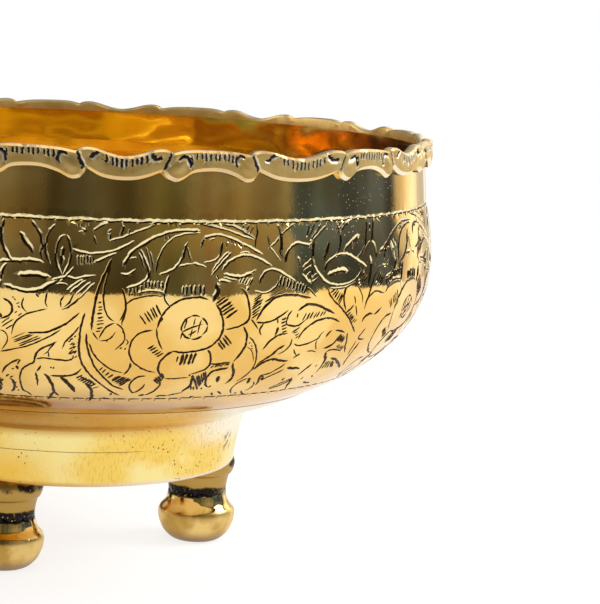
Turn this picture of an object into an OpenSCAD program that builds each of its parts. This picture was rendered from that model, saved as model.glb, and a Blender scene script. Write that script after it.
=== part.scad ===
// Footed brass offering bowl: a spun bowl, a cast scroll border on its lip, a spun drum under it
// and three turned feet, each held by a screw from inside the well.
// Millimetres, +Z up. The origin is on the ground under the middle of the bowl, foot 1 is on +X.

/* [Bowl body] */
// Outside radius of the belly at its widest
belly_r = 107.6; // [100:0.2:116]
// How far the round underside would fall below the widest part, measured on the axis
belly_drop = 50.8; // [46:0.2:56]
// Fullness of the underside's curve, where 2 is an ellipse
belly_fullness = 2.19; // [2:0.01:2.4]
// Height from the widest part up to the plain band
shoulder_h = 21.8; // [16:0.2:28]
// How far the plain band is drawn in from the widest part
band_in = 3.6; // [2:0.2:8]
// Height of the plain band, up to the edge of the lip
band_h = 11.7; // [9:0.1:18]
// Thickness of the bowl's sheet
bowl_wall = 1.2; // [0.8:0.1:2.4]

/* [Scroll rim] */
// Pairs of scrolls round the lip, each one drooping and one arched
scroll_pairs = 13; // [9:1:16]
// Height of the scrolls' peaks above the lip
rim_over = 3.2; // [2.9:0.1:5]
// How far the lowest lobes hang below the lip
rim_drop = 5.1; // [4:0.1:7]
// How far the border stands out from the plain band
rim_out = 1.9; // [1.5:0.1:3.5]
// Bulge of the border's face at half its height
rim_bulge = 0.4; // [0.1:0.1:0.8]
// Dip in the top edge of a drooping scroll
scroll_dip = 2.1; // [0.8:0.1:2.2]
// How far the ends of the arched scrolls lean out towards their lobes
scroll_slant = 1.2; // [0.4:0.1:1.8]
// Depth of the groove where two scrolls meet
groove_depth = 1.1; // [0.4:0.1:1.3]
// Bevel along the top edge of the border's face
top_bevel = 0.6; // [0.2:0.1:0.9]
// Bevel along the lower edge of the border's face
low_bevel = 0.9; // [0.4:0.1:1.2]
// Rounding of the border's inner edge
rim_round = 0.3; // [0.1:0.1:0.6]

/* [Base drum] */
// Outside radius of the drum's wall at its foot
drum_low_r = 51; // [48:0.2:56]
// How much wider the wall is at its top than at its foot
drum_spread = 3.1; // [1:0.1:6]
// Height of the wall, from the underside up to the crease of the collar
drum_h = 17; // [14:0.2:30]
// Thickness of the drum's wall
drum_wall = 1.2; // [0.8:0.1:1.8]
// Thickness of the drum's floor
floor_t = 1.5; // [1:0.1:2.6]
// Outside radius of the rounded edge between wall and floor
corner_r = 1.6; // [1.4:0.1:3]
// Width over which the wall turns out into the collar
flare_w = 3; // [2:0.1:6]
// Steepness of the flare where it leaves the crease
flare_a = 45; // [35:1:60]
// How far the collar reaches out under the belly
collar_w = 18.8; // [8:0.2:24]
// Thickness left at the beaten edge of the collar
collar_edge_t = 0.35; // [0.2:0.05:0.6]
// Film of solder between the collar and the belly, and round the lip
solder_gap = 0.05; // [0.02:0.01:0.1]

/* [Feet] */
// Distance from the foot of the drum's wall in to the axis of each foot
foot_inset = 10.4; // [9:0.2:14]
// Radius of the flat pad under a foot
pad_r = 6.5; // [4:0.1:8]
// Largest radius of the foot's bun
bun_r = 11.8; // [10:0.1:14]
// Height from the pad to the bun's widest part
bun_low_h = 8; // [6:0.1:10]
// Height from the bun's widest part to the neck
bun_high_h = 8; // [6:0.1:10]
// Radius of the neck
neck_r = 8.8; // [6:0.1:9.6]
// Height from the neck to the underside of the drum
cap_h = 10.8; // [8:0.1:14]
// Radius of the cap that the drum rests on
cap_r = 11.3; // [10:0.1:12]
// How far the cap laps up round the drum's rounded edge
seat_lap = 0.8; // [0.5:0.1:1.4]
// Rounding of the cap's top edge
cap_round = 0.5; // [0.3:0.1:0.7]

/* [Foot screws] */
// Radius of the screw's shank
screw_r = 2; // [1.5:0.1:2.5]
// Length of the shank under the head
screw_l = 12; // [8:0.5:16]
// Radius of the cheese head
head_r = 3.5; // [3:0.1:4.2]
// Height of the cheese head
head_h = 2.4; // [1.6:0.1:3]
// Width of the slot in the head
slot_w = 1; // [0.6:0.1:1.4]
// Depth of the slot in the head
slot_depth = 1.1; // [0.6:0.1:1.4]
// Outside radius of the washer
washer_r = 4.5; // [4.2:0.1:6]
// Thickness of the washer
washer_t = 0.8; // [0.5:0.1:1.2]
// Room round the shank in the tapped hole of the foot
thread_gap = 0.05; // [0.03:0.01:0.1]
// Room round the shank in the washer and in the drum's floor
hole_gap = 0.2; // [0.1:0.05:0.4]
// Depth of the tapped hole past the screw's end
tap_spare = 1.5; // [0.5:0.1:2.5]

/* [Hidden] */
$fn = 96;
overrun = 1;
foot_spacing_a = 120;

// Steps that the curves are drawn with
belly_steps = 22;
shoulder_steps = 6;
corner_steps = 6;
flare_steps = 5;
collar_steps = 8;
wall_steps = 5;
bun_steps = 10;
cap_steps = 6;

// Waist of the drum's wall, where 1 is a straight cone
drum_waist = 1.4;
// Least radius of the corner inside the drum
inner_corner_min_r = 0.3;
// Part of the cap's height over which it widens above the neck
cap_flare_share = 0.68;

// Widths of the scrolls in turn, as shares of the mean width, starting with a drooping one
scroll_width_shares = [
    0.87, 0.97, 1.17, 0.94, 0.88, 1.02, 1.05, 0.98, 1.00, 1.03, 0.96, 1.04, 1.00,
    0.99, 1.05, 1.01, 0.97, 1.03, 1.00, 1.02, 0.98, 1.04, 1.00, 0.99, 1.01, 1.00];
// Direction at which the first scroll starts
scroll_start_a = -93.8;
// Places of a scroll's sections, as shares of its width, the first in the groove before it
scroll_station_shares = [0, 0.03, 0.08, 0.14, 0.21, 0.3, 0.4, 0.5, 0.6, 0.7, 0.79, 0.86, 0.92, 0.97];
groove_width_share = 0.03;
// Drop of the top edges below the peaks, as pairs of width share and share of scroll_dip
droop_top_shares = [
    [0, 0.35], [0.03, 0.12], [0.1, 0], [0.2, 0.15], [0.35, 0.7], [0.5, 1],
    [0.65, 0.7], [0.8, 0.15], [0.9, 0], [0.97, 0.12], [1, 0.35]];
arch_top_shares = [
    [0, 0.5], [0.04, 0.35], [0.15, 0.1], [0.3, 0], [0.6, 0.05], [0.8, 0.2], [0.92, 0.4], [1, 0.55]];
// Hang of the lower edges below the lip, as pairs of width share and share of rim_drop
droop_hang_shares = [
    [0, 0.42], [0.08, 0.6], [0.2, 0.83], [0.35, 0.95], [0.5, 0.98],
    [0.65, 0.94], [0.8, 0.8], [0.92, 0.62], [1, 0.5]];
arch_hang_shares = [
    [0, 0.5], [0.04, 0.8], [0.13, 1], [0.21, 0.86], [0.3, 0.55], [0.45, 0.44],
    [0.6, 0.47], [0.75, 0.7], [0.86, 0.98], [0.95, 0.9], [1, 0.5]];

// Heights and radii that follow from the sizes above
foot_h = bun_low_h + bun_high_h + cap_h;
drum_top_r = drum_low_r + drum_spread;
crease_z = foot_h + drum_h;
seat_r = drum_top_r + flare_w;
seat_a = belly_slope(seat_r);
collar_out = solder_gap + drum_wall;
flare_arc_r = (seat_r + collar_out * sin(seat_a) - drum_top_r) / (sin(flare_a) - sin(seat_a));
belly_z = crease_z + flare_arc_r * (cos(seat_a) - cos(flare_a))
    + collar_out * cos(seat_a) + belly_fall(seat_r);
band_r = belly_r - band_in;
lip_r = band_r - bowl_wall;
lip_z = belly_z + shoulder_h + band_h;
shoulder_arc_r = (shoulder_h * shoulder_h + band_in * band_in) / (2 * band_in);
foot_circle_r = drum_low_r - foot_inset;
floor_z = foot_h + floor_t;
washer_z = floor_z + washer_t;
tap_depth = screw_l - washer_t - floor_t + tap_spare;

// Fall of the belly's outside below its widest part, at radius r
function belly_fall(r) =
    belly_drop * pow(1 - pow(r / belly_r, belly_fullness), 1 / belly_fullness);

// Slope of the belly's underside at radius r, in degrees from level
function belly_slope(r) = atan(belly_drop / belly_r * pow(r / belly_r, belly_fullness - 1)
    * pow(1 - pow(r / belly_r, belly_fullness), 1 / belly_fullness - 1));

// Point at distance out from the belly's underside, square to it, at radius r
function under_belly(r, out) = let (a = belly_slope(r))
    [r + out * sin(a), belly_z - belly_fall(r) - out * cos(a)];

// Radius on the underside at share u of the way from radius r to the widest part
function belly_station(r, u) = let (start_a = acos(pow(r / belly_r, belly_fullness / 2)))
    belly_r * pow(cos(start_a * (1 - u)), 2 / belly_fullness);

// Bowl's side of the throat up to the lip, at distance out from the outside
function bowl_side(out) = concat(
    [for (i = [0:belly_steps]) under_belly(belly_station(seat_r, i / belly_steps), out)],
    [for (i = [1:shoulder_steps]) let (a = asin(shoulder_h / shoulder_arc_r) * i / shoulder_steps)
        [belly_r - shoulder_arc_r + (shoulder_arc_r + out) * cos(a),
            belly_z + (shoulder_arc_r + out) * sin(a)]],
    [[band_r + out, belly_z + shoulder_h], [band_r + out, lip_z]]);

function reverse(points) = [for (i = [len(points) - 1:-1:0]) points[i]];

// Round edge of the drum, of radius r about its own centre, from the floor up to the wall
function drum_corner(r, inset, rise) = [for (i = [0:corner_steps]) let (a = 90 * i / corner_steps)
    [drum_low_r - inset - r + r * sin(a), foot_h + rise + r - r * cos(a)]];

// Waisted wall of the drum at distance inset from its outside, without its lowest point
function drum_side(inset) = [for (i = [1:wall_steps]) let (u = i / wall_steps)
    [drum_low_r - inset + drum_spread * pow(u, drum_waist),
        foot_h + corner_r + (drum_h - corner_r) * u]];

// Hollow curve from the crease to the collar, at distance inset behind the outside
function flare(inset) = let (
        end = under_belly(seat_r, collar_out),
        mid = [end[0] + flare_arc_r * sin(seat_a), end[1] - flare_arc_r * cos(seat_a)])
    [for (i = [0:flare_steps]) let (a = flare_a + (seat_a - flare_a) * i / flare_steps)
        [mid[0] - (flare_arc_r + inset) * sin(a), mid[1] + (flare_arc_r + inset) * cos(a)]];

// Collar under the belly, from the flare to its edge, which is edge_t thick
function collar(start_t, edge_t) = [for (i = [1:collar_steps]) let (u = i / collar_steps)
    under_belly(seat_r + collar_w * u, solder_gap + start_t + (edge_t - start_t) * u)];

// Foot's outline from the middle of the pad up to the top of the cap
function foot_outline() = concat(
    [[0, 0]],
    [for (i = [0:bun_steps]) let (a = 90 * i / bun_steps)
        [pad_r + (bun_r - pad_r) * sin(a), bun_low_h * (1 - cos(a))]],
    [for (i = [1:bun_steps]) let (u = i / bun_steps)
        [bun_r + (neck_r - bun_r) * (1 - cos(180 * u)) / 2, bun_low_h + bun_high_h * u]],
    [for (i = [1:cap_steps]) let (u = i / cap_steps)
        [neck_r + (cap_r - neck_r) * pow(u, 1.5), bun_low_h + bun_high_h + cap_h * cap_flare_share * u]],
    [[cap_r, foot_h], [cap_r - cap_round, foot_h + seat_lap], [0, foot_h + seat_lap]]);

// Scrolls of the rim
function width_share(k) = scroll_width_shares[k % len(scroll_width_shares)];
function share_before(k) = k == 0 ? 0 : share_before(k - 1) + width_share(k - 1);
scroll_count = 2 * scroll_pairs;
share_total = share_before(scroll_count);
function droops(k) = k % 2 == 0;
function scroll_dir(k, u) = scroll_start_a + 360 * (share_before(k) + u * width_share(k)) / share_total;
function groove(u) = u < groove_width_share ? 1 : 0;

// Top and lower edge of scroll k at share u of its width
function scroll_top(k, u) = lip_z + rim_over
    - scroll_dip * lookup(u, droops(k) ? droop_top_shares : arch_top_shares);
function scroll_low(k, u) = lip_z - rim_drop * lookup(u, droops(k) ? droop_hang_shares : arch_hang_shares);

// Section of the border: over the lip, down its bevelled face and back up the plain band
function scroll_section(k, u) = let (
        top = scroll_top(k, u),
        low = scroll_low(k, u),
        back = band_r + solder_gap,
        stand = rim_out - groove_depth * groove(u),
        face = back + stand)
    [
        [lip_r, lip_z + solder_gap],
        [lip_r, top - rim_round],
        [lip_r + rim_round, top],
        [face - top_bevel, top],
        [face, top - top_bevel],
        [face + rim_bulge, (top + low) / 2],
        [face, low + low_bevel],
        [face - low_bevel * stand / rim_out, low],
        [back, low],
        [back, lip_z + solder_gap]
    ];

// Lean of a section's points, in degrees: the lower ones away from the middle of an arched scroll
function lean(k, u, z) = let (
        side = droops(k) ? 1 - 2 * u : 2 * u - 1,
        height = (z - scroll_low(k, u)) / (scroll_top(k, u) - scroll_low(k, u)))
    side * (1 - 2 * height) * asin(scroll_slant / band_r);

module bowl_body() {
    color("goldenrod")
        rotate_extrude()
            polygon(concat(bowl_side(0), reverse(bowl_side(-bowl_wall))));
}

module scroll_rim() {
    sections = [for (k = [0:scroll_count - 1], u = scroll_station_shares)
        [for (p = scroll_section(k, u))
            let (a = scroll_dir(k, u) + lean(k, u, p[1]))
                [p[0] * cos(a), p[0] * sin(a), p[1]]]];
    rings = len(sections);
    sides = len(sections[0]);
    color("darkgoldenrod")
        polyhedron(
            points = [for (ring = sections, p = ring) p],
            faces = [for (i = [0:rings - 1], j = [0:sides - 1], half = [0, 1])
                let (
                    a = i * sides + j,
                    b = i * sides + (j + 1) % sides,
                    c = (i + 1) % rings * sides + (j + 1) % sides,
                    d = (i + 1) % rings * sides + j)
                    half == 0 ? [a, b, c] : [a, c, d]]);
}

module base_drum() {
    inner_corner_r = max(inner_corner_min_r, corner_r - drum_wall);
    outside = concat(
        [[0, foot_h]], drum_corner(corner_r, 0, 0), drum_side(0),
        flare(0), collar(drum_wall, collar_edge_t));
    inside = concat(
        [[0, floor_z]], drum_corner(inner_corner_r, drum_wall, floor_t), drum_side(drum_wall),
        flare(drum_wall), collar(0, 0));
    color("gold")
        difference() {
            rotate_extrude()
                polygon(concat(outside, reverse(inside)));
            for (k = [1:3])
                at_foot(k)
                    translate([0, 0, foot_h - overrun])
                        cylinder(r = screw_r + hole_gap, h = floor_t + 2 * overrun);
        }
}

// Places its children on the axis of foot k
module at_foot(k) {
    rotate([0, 0, foot_spacing_a * (k - 1)])
        translate([foot_circle_r, 0, 0])
            children();
}

// Space that the drum takes up, which each foot's cap is filed to
module drum_space() {
    rotate_extrude()
        polygon(concat(
            [[0, foot_h], [drum_low_r - corner_r, foot_h]],
            [for (i = [1:corner_steps]) let (a = 90 * i / corner_steps)
                [drum_low_r - corner_r + (corner_r + solder_gap) * sin(a),
                    max(foot_h, foot_h + corner_r - (corner_r + solder_gap) * cos(a))]],
            [[drum_low_r + solder_gap, foot_h + corner_r + overrun], [0, foot_h + corner_r + overrun]]));
}

module foot(k) {
    color("darkgoldenrod")
        difference() {
            at_foot(k)
                rotate_extrude()
                    polygon(foot_outline());
            drum_space();
            at_foot(k)
                translate([0, 0, foot_h - tap_depth])
                    cylinder(r = screw_r + thread_gap, h = tap_depth + overrun);
        }
}

module foot_screw(k) {
    color("khaki")
        at_foot(k)
            difference() {
                union() {
                    translate([0, 0, washer_z - screw_l])
                        cylinder(r = screw_r, h = screw_l);
                    translate([0, 0, washer_z])
                        cylinder(r = head_r, h = head_h);
                }
                translate([-head_r - overrun, -slot_w / 2, washer_z + head_h - slot_depth])
                    cube([2 * (head_r + overrun), slot_w, slot_depth + overrun]);
            }
}

module foot_washer(k) {
    color("silver")
        at_foot(k)
            translate([0, 0, floor_z])
                difference() {
                    cylinder(r = washer_r, h = washer_t);
                    translate([0, 0, -overrun])
                        cylinder(r = screw_r + hole_gap, h = washer_t + 2 * overrun);
                }
}

bowl_body();
scroll_rim();
base_drum();
foot(1);  // foot_1
foot(2);  // foot_2
foot(3);  // foot_3
foot_screw(1);  // foot_screw_1
foot_screw(2);  // foot_screw_2
foot_screw(3);  // foot_screw_3
foot_washer(1);  // foot_washer_1
foot_washer(2);  // foot_washer_2
foot_washer(3);  // foot_washer_3
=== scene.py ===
import bisect
import math
import random

import bpy
from mathutils import Matrix, Vector, kdtree, noise
from mathutils.geometry import delaunay_2d_cdt


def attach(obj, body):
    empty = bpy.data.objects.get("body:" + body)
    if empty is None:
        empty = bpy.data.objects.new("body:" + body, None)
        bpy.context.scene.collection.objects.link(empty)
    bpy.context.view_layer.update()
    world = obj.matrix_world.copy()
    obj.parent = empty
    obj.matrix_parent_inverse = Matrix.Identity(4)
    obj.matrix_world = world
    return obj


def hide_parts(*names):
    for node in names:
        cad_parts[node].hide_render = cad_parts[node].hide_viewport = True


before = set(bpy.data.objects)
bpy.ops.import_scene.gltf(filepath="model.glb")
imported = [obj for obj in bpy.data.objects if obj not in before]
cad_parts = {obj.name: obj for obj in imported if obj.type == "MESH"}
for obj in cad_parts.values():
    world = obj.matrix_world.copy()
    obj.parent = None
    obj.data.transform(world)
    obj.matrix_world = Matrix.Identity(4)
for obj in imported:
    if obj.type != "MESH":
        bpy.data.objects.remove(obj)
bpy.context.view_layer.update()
bpy.ops.object.select_all(action="DESELECT")
scene = bpy.context.scene
scene.view_settings.view_transform = "Standard"
MM = 0.001

# Camera: low in front of the bowl and a little to its left, close, with a long lens, so that the
# bowl's right two thirds fill the picture.
camera_data = bpy.data.cameras.new("camera")
camera_data.lens = 135.02
camera_data.sensor_width = 36
camera_data.sensor_fit = "HORIZONTAL"
camera_data.clip_start = 0.01
camera_place = (-0.0509, -0.6781, 0.1714)
turned_right = 0.1764
tilted_down = 0.1394
rolled = 0.0514
camera = bpy.data.objects.new("camera", camera_data)
camera.matrix_world = (
    Matrix.Translation(camera_place)
    @ Matrix.Rotation(-turned_right, 4, "Z")
    @ Matrix.Rotation(math.pi / 2 - tilted_down, 4, "X")
    @ Matrix.Rotation(rolled, 4, "Z"))
scene.collection.objects.link(camera)
scene.camera = camera


# Studio: a round pale table top under a white world, with dark cards standing round its edge. Only the
# brass shows the cards, which give the polished metal something dark to mirror.
class Signal:
    """One value among a finish's nodes. Operators between two of them, or one and a number, add Math
    nodes, and node() adds any other node from its kind, its settings and its inputs. output says which
    of that node's outputs is the value."""

    def __init__(self, tree, socket=None):
        self.tree = tree
        self.socket = socket

    def node(self, kind, settings=None, inputs=None, output=0):
        added = self.tree.nodes.new(kind)
        for name, value in (settings or {}).items():
            if name == "stops":
                ramp = added.color_ramp.elements
                ramp.remove(ramp[1])
                for i, (place, colour) in enumerate(value):
                    stop = ramp.new(place) if i else ramp[0]
                    stop.position = place
                    stop.color = (*colour, 1)
            else:
                setattr(added, name, value)
        for name, value in (inputs or {}).items():
            if isinstance(value, Signal):
                self.tree.links.new(value.socket, added.inputs[name])
            else:
                added.inputs[name].default_value = value
        return Signal(self.tree, added.outputs[output] if added.outputs else None)

    def math(self, operation, *values):
        return self.node("ShaderNodeMath", {"operation": operation}, dict(enumerate(values)))

    def __add__(self, other):
        return self.math("ADD", self, other)

    def __sub__(self, other):
        return self.math("SUBTRACT", self, other)

    def __rsub__(self, other):
        return self.math("SUBTRACT", other, self)

    def __mul__(self, other):
        return self.math("MULTIPLY", self, other)

    def __truediv__(self, other):
        return self.math("DIVIDE", self, other)

    __radd__ = __add__
    __rmul__ = __mul__

    def rise(self, low, high):
        """0 below low, 1 above high, and a smooth slope between them."""
        return self.node(
            "ShaderNodeMapRange", {"interpolation_type": "SMOOTHSTEP"},
            {"Value": self, "From Min": low, "From Max": high})

    def mix(self, first, second):
        """The first colour where this value is 0, the second where it is 1."""
        return self.node(
            "ShaderNodeMix", {"data_type": "RGBA"}, {0: self, 6: first, 7: second}, output=2)


def new_finish(name):
    """An empty material, and the start for its nodes."""
    finish = bpy.data.materials.new(name)
    finish.use_nodes = True
    finish.node_tree.nodes.clear()
    return finish, Signal(finish.node_tree)


def seen(start):
    """1 where the camera looks or the brass mirrors, 0 where light is only gathered."""
    path = start.node("ShaderNodeLightPath")
    sockets = path.socket.node.outputs
    rays = [Signal(start.tree, sockets[f"Is {kind} Ray"]) for kind in ("Camera", "Glossy", "Transmission")]
    return rays[0].math("MAXIMUM", rays[0], rays[1].math("MAXIMUM", rays[1], rays[2]))


def mirrored(start):
    """1 where the brass mirrors, 0 elsewhere."""
    path = start.node("ShaderNodeLightPath")
    return Signal(start.tree, path.socket.node.outputs["Is Glossy Ray"])


TABLE_R = 0.64
TABLE_GREY = 0.34
TABLE_GLOW = 0.78
MIRRORED_LESS = 0.12
CARDS_TOP = 0.82
WORLD_LIGHT = 0.6
world = bpy.data.worlds.new("white_world")
world.use_nodes = True
world.node_tree.nodes.clear()
scene.world = world
start = Signal(world.node_tree)
light = start.node(
    "ShaderNodeBackground",
    inputs={"Color": (1, 1, 1, 1), "Strength": WORLD_LIGHT + (1 - WORLD_LIGHT) * seen(start)})
start.node("ShaderNodeOutputWorld", inputs={"Surface": light})

bpy.ops.mesh.primitive_circle_add(vertices=96, radius=TABLE_R, fill_type="NGON", location=(0, 0, 0))
table = bpy.context.object
table.name = "table_top"
finish, start = new_finish("pale_table")
plain = start.node("ShaderNodeBsdfDiffuse", inputs={"Color": (TABLE_GREY, TABLE_GREY, TABLE_GREY, 1)})
bright = start.node(
    "ShaderNodeEmission", inputs={
        "Color": (1, 1, 1, 1),
        "Strength": TABLE_GLOW * seen(start) - MIRRORED_LESS * mirrored(start)})
start.node("ShaderNodeOutputMaterial", inputs={
    "Surface": start.node("ShaderNodeAddShader", inputs={0: plain, 1: bright})})
table.data.materials.append(finish)

bpy.ops.mesh.primitive_cylinder_add(
    vertices=96, radius=TABLE_R, depth=CARDS_TOP, end_fill_type="NOTHING", location=(0, 0, CARDS_TOP / 2))
bpy.ops.object.transform_apply(location=True)
cards = bpy.context.object
cards.name = "dark_cards"
finish, start = new_finish("dark_cards")
place = start.node("ShaderNodeTexCoord", output=3)
x, y, z = [
    start.node("ShaderNodeSeparateXYZ", inputs={"Vector": place}, output=axis) for axis in range(3)]
around = y.math("ARCTAN2", y, x) / math.tau + 0.5
height = z / CARDS_TOP
streaks = start.node(
    "ShaderNodeTexNoise", {"noise_dimensions": "1D"}, {"W": around, "Scale": 26, "Detail": 1.0})
# The cards glow rather than take light: mostly dark, with one near-white stretch, and brighter towards the
# top, as painted reflections of a room for the brass.
tones = start.node("ShaderNodeValToRGB", {"stops": [
    (0.0, (0.3, 0.3, 0.3)), (0.08, (0.08, 0.08, 0.08)), (0.16, (0.14, 0.13, 0.11)),
    (0.212, (0.13, 0.12, 0.1)), (0.218, (0.06, 0.06, 0.055)), (0.29, (0.07, 0.07, 0.06)),
    (0.31, (0.12, 0.13, 0.09)), (0.339, (0.18, 0.17, 0.14)), (0.3415, (0.16, 0.06, 0.04)),
    (0.344, (0.2, 0.185, 0.15)), (0.4175, (0.2, 0.19, 0.16)), (0.4195, (0.068, 0.1, 0.165)),
    (0.458, (0.068, 0.1, 0.165)), (0.4595, (0.3, 0.2, 0.1)), (0.461, (0.07, 0.095, 0.17)),
    (0.553, (0.075, 0.1, 0.17)), (0.561, (1.0, 0.93, 0.82)), (0.68, (1.0, 0.97, 0.9)),
    (0.7, (0.1, 0.1, 0.1)), (0.86, (0.12, 0.12, 0.12)), (0.88, (0.8, 0.8, 0.8))]}, {"Fac": around})
level = 0.65 + 0.7 * streaks.rise(0.35, 0.7) + height.rise(0.1, 0.35) * 0.8 + height.rise(0.8, 1) * 3
start.node("ShaderNodeOutputMaterial", inputs={
    "Surface": start.node("ShaderNodeEmission", inputs={"Color": tones, "Strength": level})})
cards.data.materials.append(finish)
cards.visible_camera = False
cards.visible_diffuse = False
cards.visible_shadow = False
cards.visible_transmission = False


def softbox(name, place, aim, wide, high, power):
    """A soft lamp of that width and height in metres and power in watts, turned to what it lights."""
    bpy.ops.object.light_add(type="AREA", location=place)
    lamp = bpy.context.object
    lamp.name = name
    lamp.data.shape = "RECTANGLE"
    lamp.data.size = wide
    lamp.data.size_y = high
    lamp.data.energy = power
    lamp.rotation_euler = (Vector(aim) - Vector(place)).to_track_quat("-Z", "Y").to_euler()


softbox("softbox_above", (0.1, -0.15, 1.25), (0, 0, 0.08), wide=0.8, high=0.8, power=2.4)
softbox("softbox_right", (0.6, 0, 0.4), (0.04, 0, 0.01), wide=0.3, high=0.3, power=2.4)


# Bowl: spun from brass sheet, with a plain band under the lip. The belly below the band is cut by hand
# with flowers, scrolls and leaves between two lines of graver cuts, and dark wax fills the cuts.
BELLY_R = 107.6
BELLY_Z = 91.46
BELLY_DROP = 50.8
BELLY_FULLNESS = 2.19
BAND_R = 104
CONE_TOP_Z = 123
LIP_Z = 124.96
SHEET = 1.2
THROAT_R = 57.1
SHOULDER_H = 21.8
BAND_IN = 3.6
SHOULDER_ARC_R = (SHOULDER_H ** 2 + BAND_IN ** 2) / (2 * BAND_IN)
BORDER_Z = 109.7
BELT_TOP = -2.5
BELT_FOOT = 60.5
AROUND = 384
ARC_PARTS = 40
UNDERSIDE_PARTS = 200
FRONT_A = math.radians(-94.3)
WHOLE = math.tau * BELLY_R


def belly_line():
    """Points of the outside from the rim down to the throat, with their distance s along the sheet
    below the upper border line. The band is a steep cone that meets the belly at that line."""
    points = []
    for i in range(ARC_PARTS + 1):
        rise = BORDER_Z - BELLY_Z + (BELLY_Z - BORDER_Z) * i / ARC_PARTS
        points.append((
            BELLY_R - SHOULDER_ARC_R + math.sqrt(SHOULDER_ARC_R ** 2 - rise ** 2), BELLY_Z + rise))
    points.insert(0, (BAND_R, CONE_TOP_Z))
    start_a = math.acos((THROAT_R / BELLY_R) ** (BELLY_FULLNESS / 2))
    for i in range(1, UNDERSIDE_PARTS + 1):
        r = BELLY_R * math.cos(start_a * i / UNDERSIDE_PARTS) ** (2 / BELLY_FULLNESS)
        fall = BELLY_DROP * (1 - (r / BELLY_R) ** BELLY_FULLNESS) ** (1 / BELLY_FULLNESS)
        points.append((r, BELLY_Z - fall))
    s = [-math.dist(points[0], points[1])]
    for a, b in zip(points, points[1:]):
        s.append(s[-1] + math.dist(a, b))
    return points, s


line, line_s = belly_line()


def on_belly(s):
    """Radius, height and outward direction (radial, upward) of the outside at distance s."""
    low = max(0, min(len(line) - 2, bisect.bisect_right(line_s, s) - 1))
    (r0, z0), (r1, z1) = line[low], line[low + 1]
    length = math.dist(line[low], line[low + 1])
    share = (s - line_s[low]) / length
    return r0 + (r1 - r0) * share, z0 + (z1 - z0) * share, (z0 - z1) / length, (r1 - r0) / length


def curve_through(points, step):
    """Points about step apart on a smooth curve through the given points."""
    before = [2 * a - b for a, b in zip(points[0], points[1])]
    after = [2 * a - b for a, b in zip(points[-1], points[-2])]
    guide = [before, *points, after]
    curve = [tuple(points[0])]
    for corners in zip(guide, guide[1:], guide[2:], guide[3:]):
        parts = max(1 if len(points) > 2 else 2, math.ceil(math.dist(corners[1], corners[2]) / step))
        for i in range(1, parts + 1):
            t = i / parts
            curve.append(tuple(
                b + 0.5 * t * (c - a + t * (2 * a - 5 * b + 4 * c - d + t * (3 * b - a - 3 * c + d)))
                for a, b, c, d in zip(*corners)))
    return curve


def hatch(width, count, first_a, first_b, last_a, last_b):
    """Strokes side by side, from the first one to the last."""
    shares = [i / (count - 1) for i in range(count)]
    return [
        (width, *(tuple(p + (q - p) * t for p, q in zip(first, last))
                  for first, last in ((first_a, last_a), (first_b, last_b))))
        for t in shares]


HAND_UNEVEN = 0.22
LONGEST_LEAD = 0.2
LONGEST_TAIL = 0.35
MARK_STEP = 0.15
CLEAR_OF_CUTS = 0.8
LEAST_DEPTH = 0.004


class GraverCut:
    """One stroke of the graver: a curve, the cut's half width and depth along it, and the line of its
    floor. The graver is held over towards one side, so that the cut's floor lies nearer to that edge:
    lean is that way, (0, 0.5) being downwards and half way to the edge. The cut widens over its first
    lead millimetres and narrows over its last tail, or over shares of a short stroke. A bright cut gets
    a painted highlight on its broad wall, and the others are filled with wax."""

    def __init__(self, width, curve, depth_share, lead, tail, unsteady, lean=(0, 0.5), bright=0.3):
        self.bright = bright
        along = [0]
        for a, b in zip(curve, curve[1:]):
            along.append(along[-1] + math.dist(a, b))
        whole = along[-1]
        lead, tail = min(lead, LONGEST_LEAD * whole), min(tail, LONGEST_TAIL * whole)
        self.centre, self.floor, self.left, self.right, self.normal = [], [], [], [], []
        self.deep = []
        last = len(curve) - 1
        for i, (point, d) in enumerate(zip(curve, along)):
            a, b = curve[max(0, i - 1)], curve[min(last, i + 1)]
            length = math.dist(a, b)
            out = ((a[1] - b[1]) / length, (b[0] - a[0]) / length)
            half = 0
            if 0 < i < last:
                half = width / 2 * math.sqrt(min(1, d / lead, (whole - d) / tail))
                half *= 1 + unsteady.uniform(-HAND_UNEVEN, HAND_UNEVEN)
            shift = half * (lean[0] * out[0] + lean[1] * out[1])
            wander = half * unsteady.uniform(-HAND_UNEVEN, HAND_UNEVEN)
            centre = tuple(p + o * wander for p, o in zip(point, out))
            self.centre.append(centre)
            self.normal.append(out)
            self.floor.append(tuple(c + o * shift for c, o in zip(centre, out)))
            self.left.append(half - shift)
            self.right.append(half + shift)
            self.deep.append(2 * half * depth_share)

    def edge(self, side):
        """Points of one edge, 1 for the left one and -1 for the right one, without its ends."""
        halves = self.left if side > 0 else self.right
        return [
            tuple(f + o * side * half for f, o in zip(floor, out))
            for floor, out, half in list(zip(self.floor, self.normal, halves))[1:-1]]


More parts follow.
